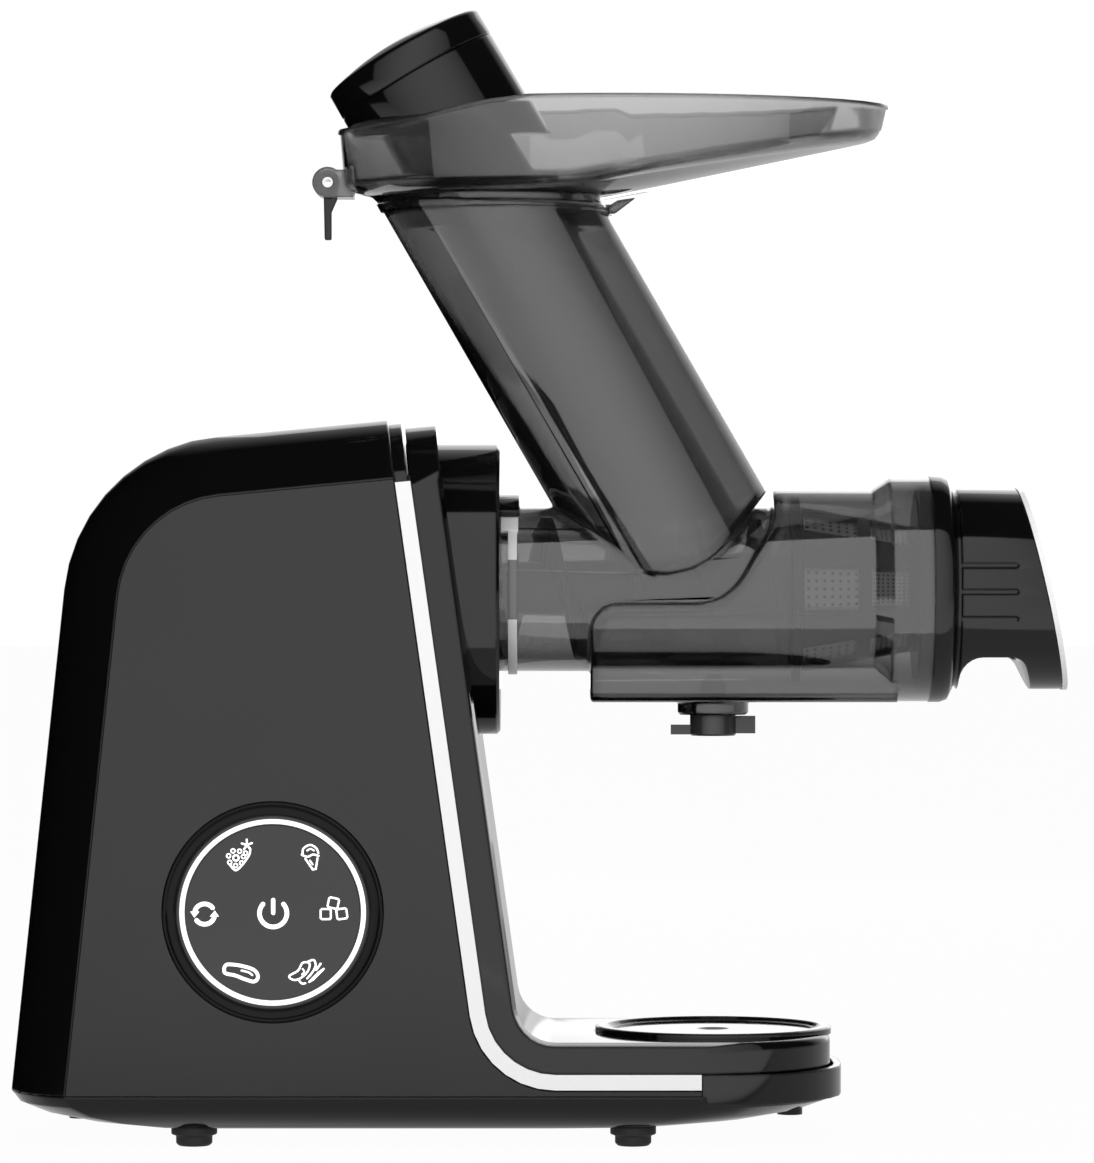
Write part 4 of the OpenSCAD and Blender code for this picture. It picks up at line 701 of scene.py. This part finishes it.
def curve(points, closed=False, steps=6):
    # smooth line through a few points
    count = len(points)
    out = []
    for i in range(count if closed else count - 1):
        near = [(i + k) % count if closed else min(max(i + k, 0), count - 1) for k in (-1, 0, 1, 2)]
        ends = [points[k] for k in near]
        for j in range(steps):
            t = j / steps
            out.append(tuple(0.5 * (2 * b + (c - a) * t + (2 * a - 5 * b + 4 * c - d) * t * t
                                    + (3 * b - a - 3 * c + d) * t ** 3) for a, b, c, d in zip(*ends)))
    if not closed:
        out.append(points[-1])
    return out


def makeSymbols():
    # signs of the six programs and the power sign, printed on the glass and lit from behind
    glassLow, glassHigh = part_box("touch_glass")
    cx, cz = (glassLow.x + glassHigh.x) / 2, (glassLow.z + glassHigh.z) / 2
    face = glassLow.y
    vertices, faces = [], []

    def put(x, z):
        # in mm to the right of the ring's centre and above it
        vertices.append((cx + x / 1000, face, cz + z / 1000))
        return len(vertices) - 1

    def line(points, width=symbols["line"], closed=False):
        # a band around the points, with round ends
        points = [Vector((*point, 0)) for point in points]
        count = len(points)
        left, right = [], []
        for i, point in enumerate(points):
            before = points[i - 1] if (i or closed) else point
            after = points[(i + 1) % count] if (i < count - 1 or closed) else point
            a, b = (point - before).normalized(), (after - point).normalized()
            along = (a + b).normalized() if (a + b).length > 1e-6 else b
            side = Vector((-along.y, along.x, 0))
            reach = width / 2 / max(0.6, side.dot(Vector((-b.y, b.x, 0))) if b.length else 1)
            left.append(put(*(point + side * reach).xy))
            right.append(put(*(point - side * reach).xy))
        for i in range(count if closed else count - 1):
            j = (i + 1) % count
            faces.append((left[i], right[i], right[j], left[j]))
        if not closed:
            for tip, inner, first, last in ((points[0], points[1], left[0], right[0]),
                                            (points[-1], points[-2], right[-1], left[-1])):
                out = (tip - inner).normalized() * width / 2
                side = Vector((-out.y, out.x, 0))
                cap = [put(*(tip + out * math.sin(t) - side * math.cos(t)).xy)
                       for t in (math.pi * k / 6 for k in range(1, 6))]
                faces.append((first, *cap, last))

    def patch(points):
        faces.append([put(x, z) for x, z in points])

    dz = -symbols["powerDrop"]
    line(arc(0.2, dz + 0.2, 4.85, 138, 402, 36), 1.6)
    line([(0.2, dz + 4.9), (0.2, dz + 0.3)], 1.5)

    # two arrows that chase each other
    for side, start in ((1, 162), (-1, 342)):
        bend = arc(-24.1, dz - 0.1, 3.6, start, start - 124, 16)
        line(bend, 1.6)
        tip = Vector(bend[0])
        patch([(tip.x - side * 0.2, tip.y - side * 2.4), (tip.x + side * 1.6, tip.y - side * 0.2),
               (tip.x - side * 1.7, tip.y - side * 0.2)])

    # ice cubes
    for x, z, lean in ((21.5, 3.3, -12), (18.8, -0.6, 0), (24.5, -0.5, 8)):
        c, s = math.cos(math.radians(lean)), math.sin(math.radians(lean))
        corners = []
        for k in range(4):
            for turn in (-8, 8):
                a = math.radians(45 + 90 * k + turn)
                px, pz = 2.25 * math.cos(a), 2.25 * math.sin(a)
                corners.append((x + px * c - pz * s, z + px * s + pz * c))
        line(corners, closed=True)

    # ice-cream cone
    line(curve([(10.6, 20.6), (10.9, 22.6), (13.2, 23.9), (15.4, 22.8), (16.2, 21.0)]))
    line(curve([(10.3, 20.4), (12.4, 19.7), (14.3, 20.5), (16.3, 20.0)]))
    line([(11.6, 19.0), (14.2, 15.2), (15.3, 15.4), (15.9, 19.2)])
    line([(13.2, 18.4), (14.2, 17.0)], 0.6)
    line(curve([(12.2, 21.9), (13.4, 22.5), (14.6, 21.9)]), 0.6)

    # bunch of berries with a leaf
    line(arc(-13.0, 19.3, 1.0, 0, 342, 12), 0.7, True)
    for k in range(7):
        a = math.radians(51.4 * k + 10)
        line(arc(-13.0 + 2.7 * math.cos(a), 19.3 + 2.7 * math.sin(a), 0.72, 0, 324, 9), 0.5, True)
    line(curve([(-15.2, 16.9), (-13.0, 14.9), (-10.3, 17.4), (-8.2, 20.6), (-8.0, 22.6)]), 0.7)
    for k in range(5):
        a = math.radians(72 * k + 20)
        line([(-9.1, 23.9), (-9.1 + 1.9 * math.cos(a), 23.9 + 1.9 * math.sin(a))], 0.7)
    line(arc(-9.6, 21.0, 0.7, 0, 324, 9), 0.5, True)

    # courgette
    line(curve([(-16.8, -19.0), (-15.6, -18.4), (-11.2, -18.9), (-6.6, -20.4), (-5.2, -22.8), (-6.6, -24.5),
                (-10.0, -23.6), (-13.4, -22.3), (-16.6, -21.6), (-17.2, -20.2)], True), 1.25, True)
    line(curve([(-11.0, -20.6), (-8.6, -21.2), (-7.2, -22.2)]), 0.7)

    # roots and leaves
    line(curve([(6.0, -22.4), (9.0, -20.6), (10.6, -17.9), (13.0, -18.0), (12.6, -20.6), (10.6, -22.8),
                (8.4, -23.9), (6.6, -23.6)], True), closed=True)
    line(curve([(10.6, -20.0), (11.2, -21.0), (10.4, -22.0)]), 0.6)
    line(curve([(12.6, -17.4), (14.6, -16.9), (15.2, -19.0), (13.8, -21.6), (12.2, -23.4)]))
    for x in (0, 1.2, 2.4):
        line([(13.0 + x * 0.5, -24.6 + x * 0.3), (16.4 + x * 0.7, -21.2 + x * 0.5)], 0.75)
    line([(15.4, -20.4), (17.0, -18.2)], 0.75)
    line(curve([(9.4, -24.2), (10.4, -25.2), (11.6, -25.1)]), 0.7)

    printed = newPiece("panel_symbols", vertices, faces, "touch_glass", "panel_light_ring")
    layer = printed.modifiers.new("print", "SOLIDIFY")
    layer.thickness = symbols["height"]
    layer.offset = 1
    print("panel symbols made:", len(faces), "faces")


makeScreen()
makeSpring()
makeSymbols()
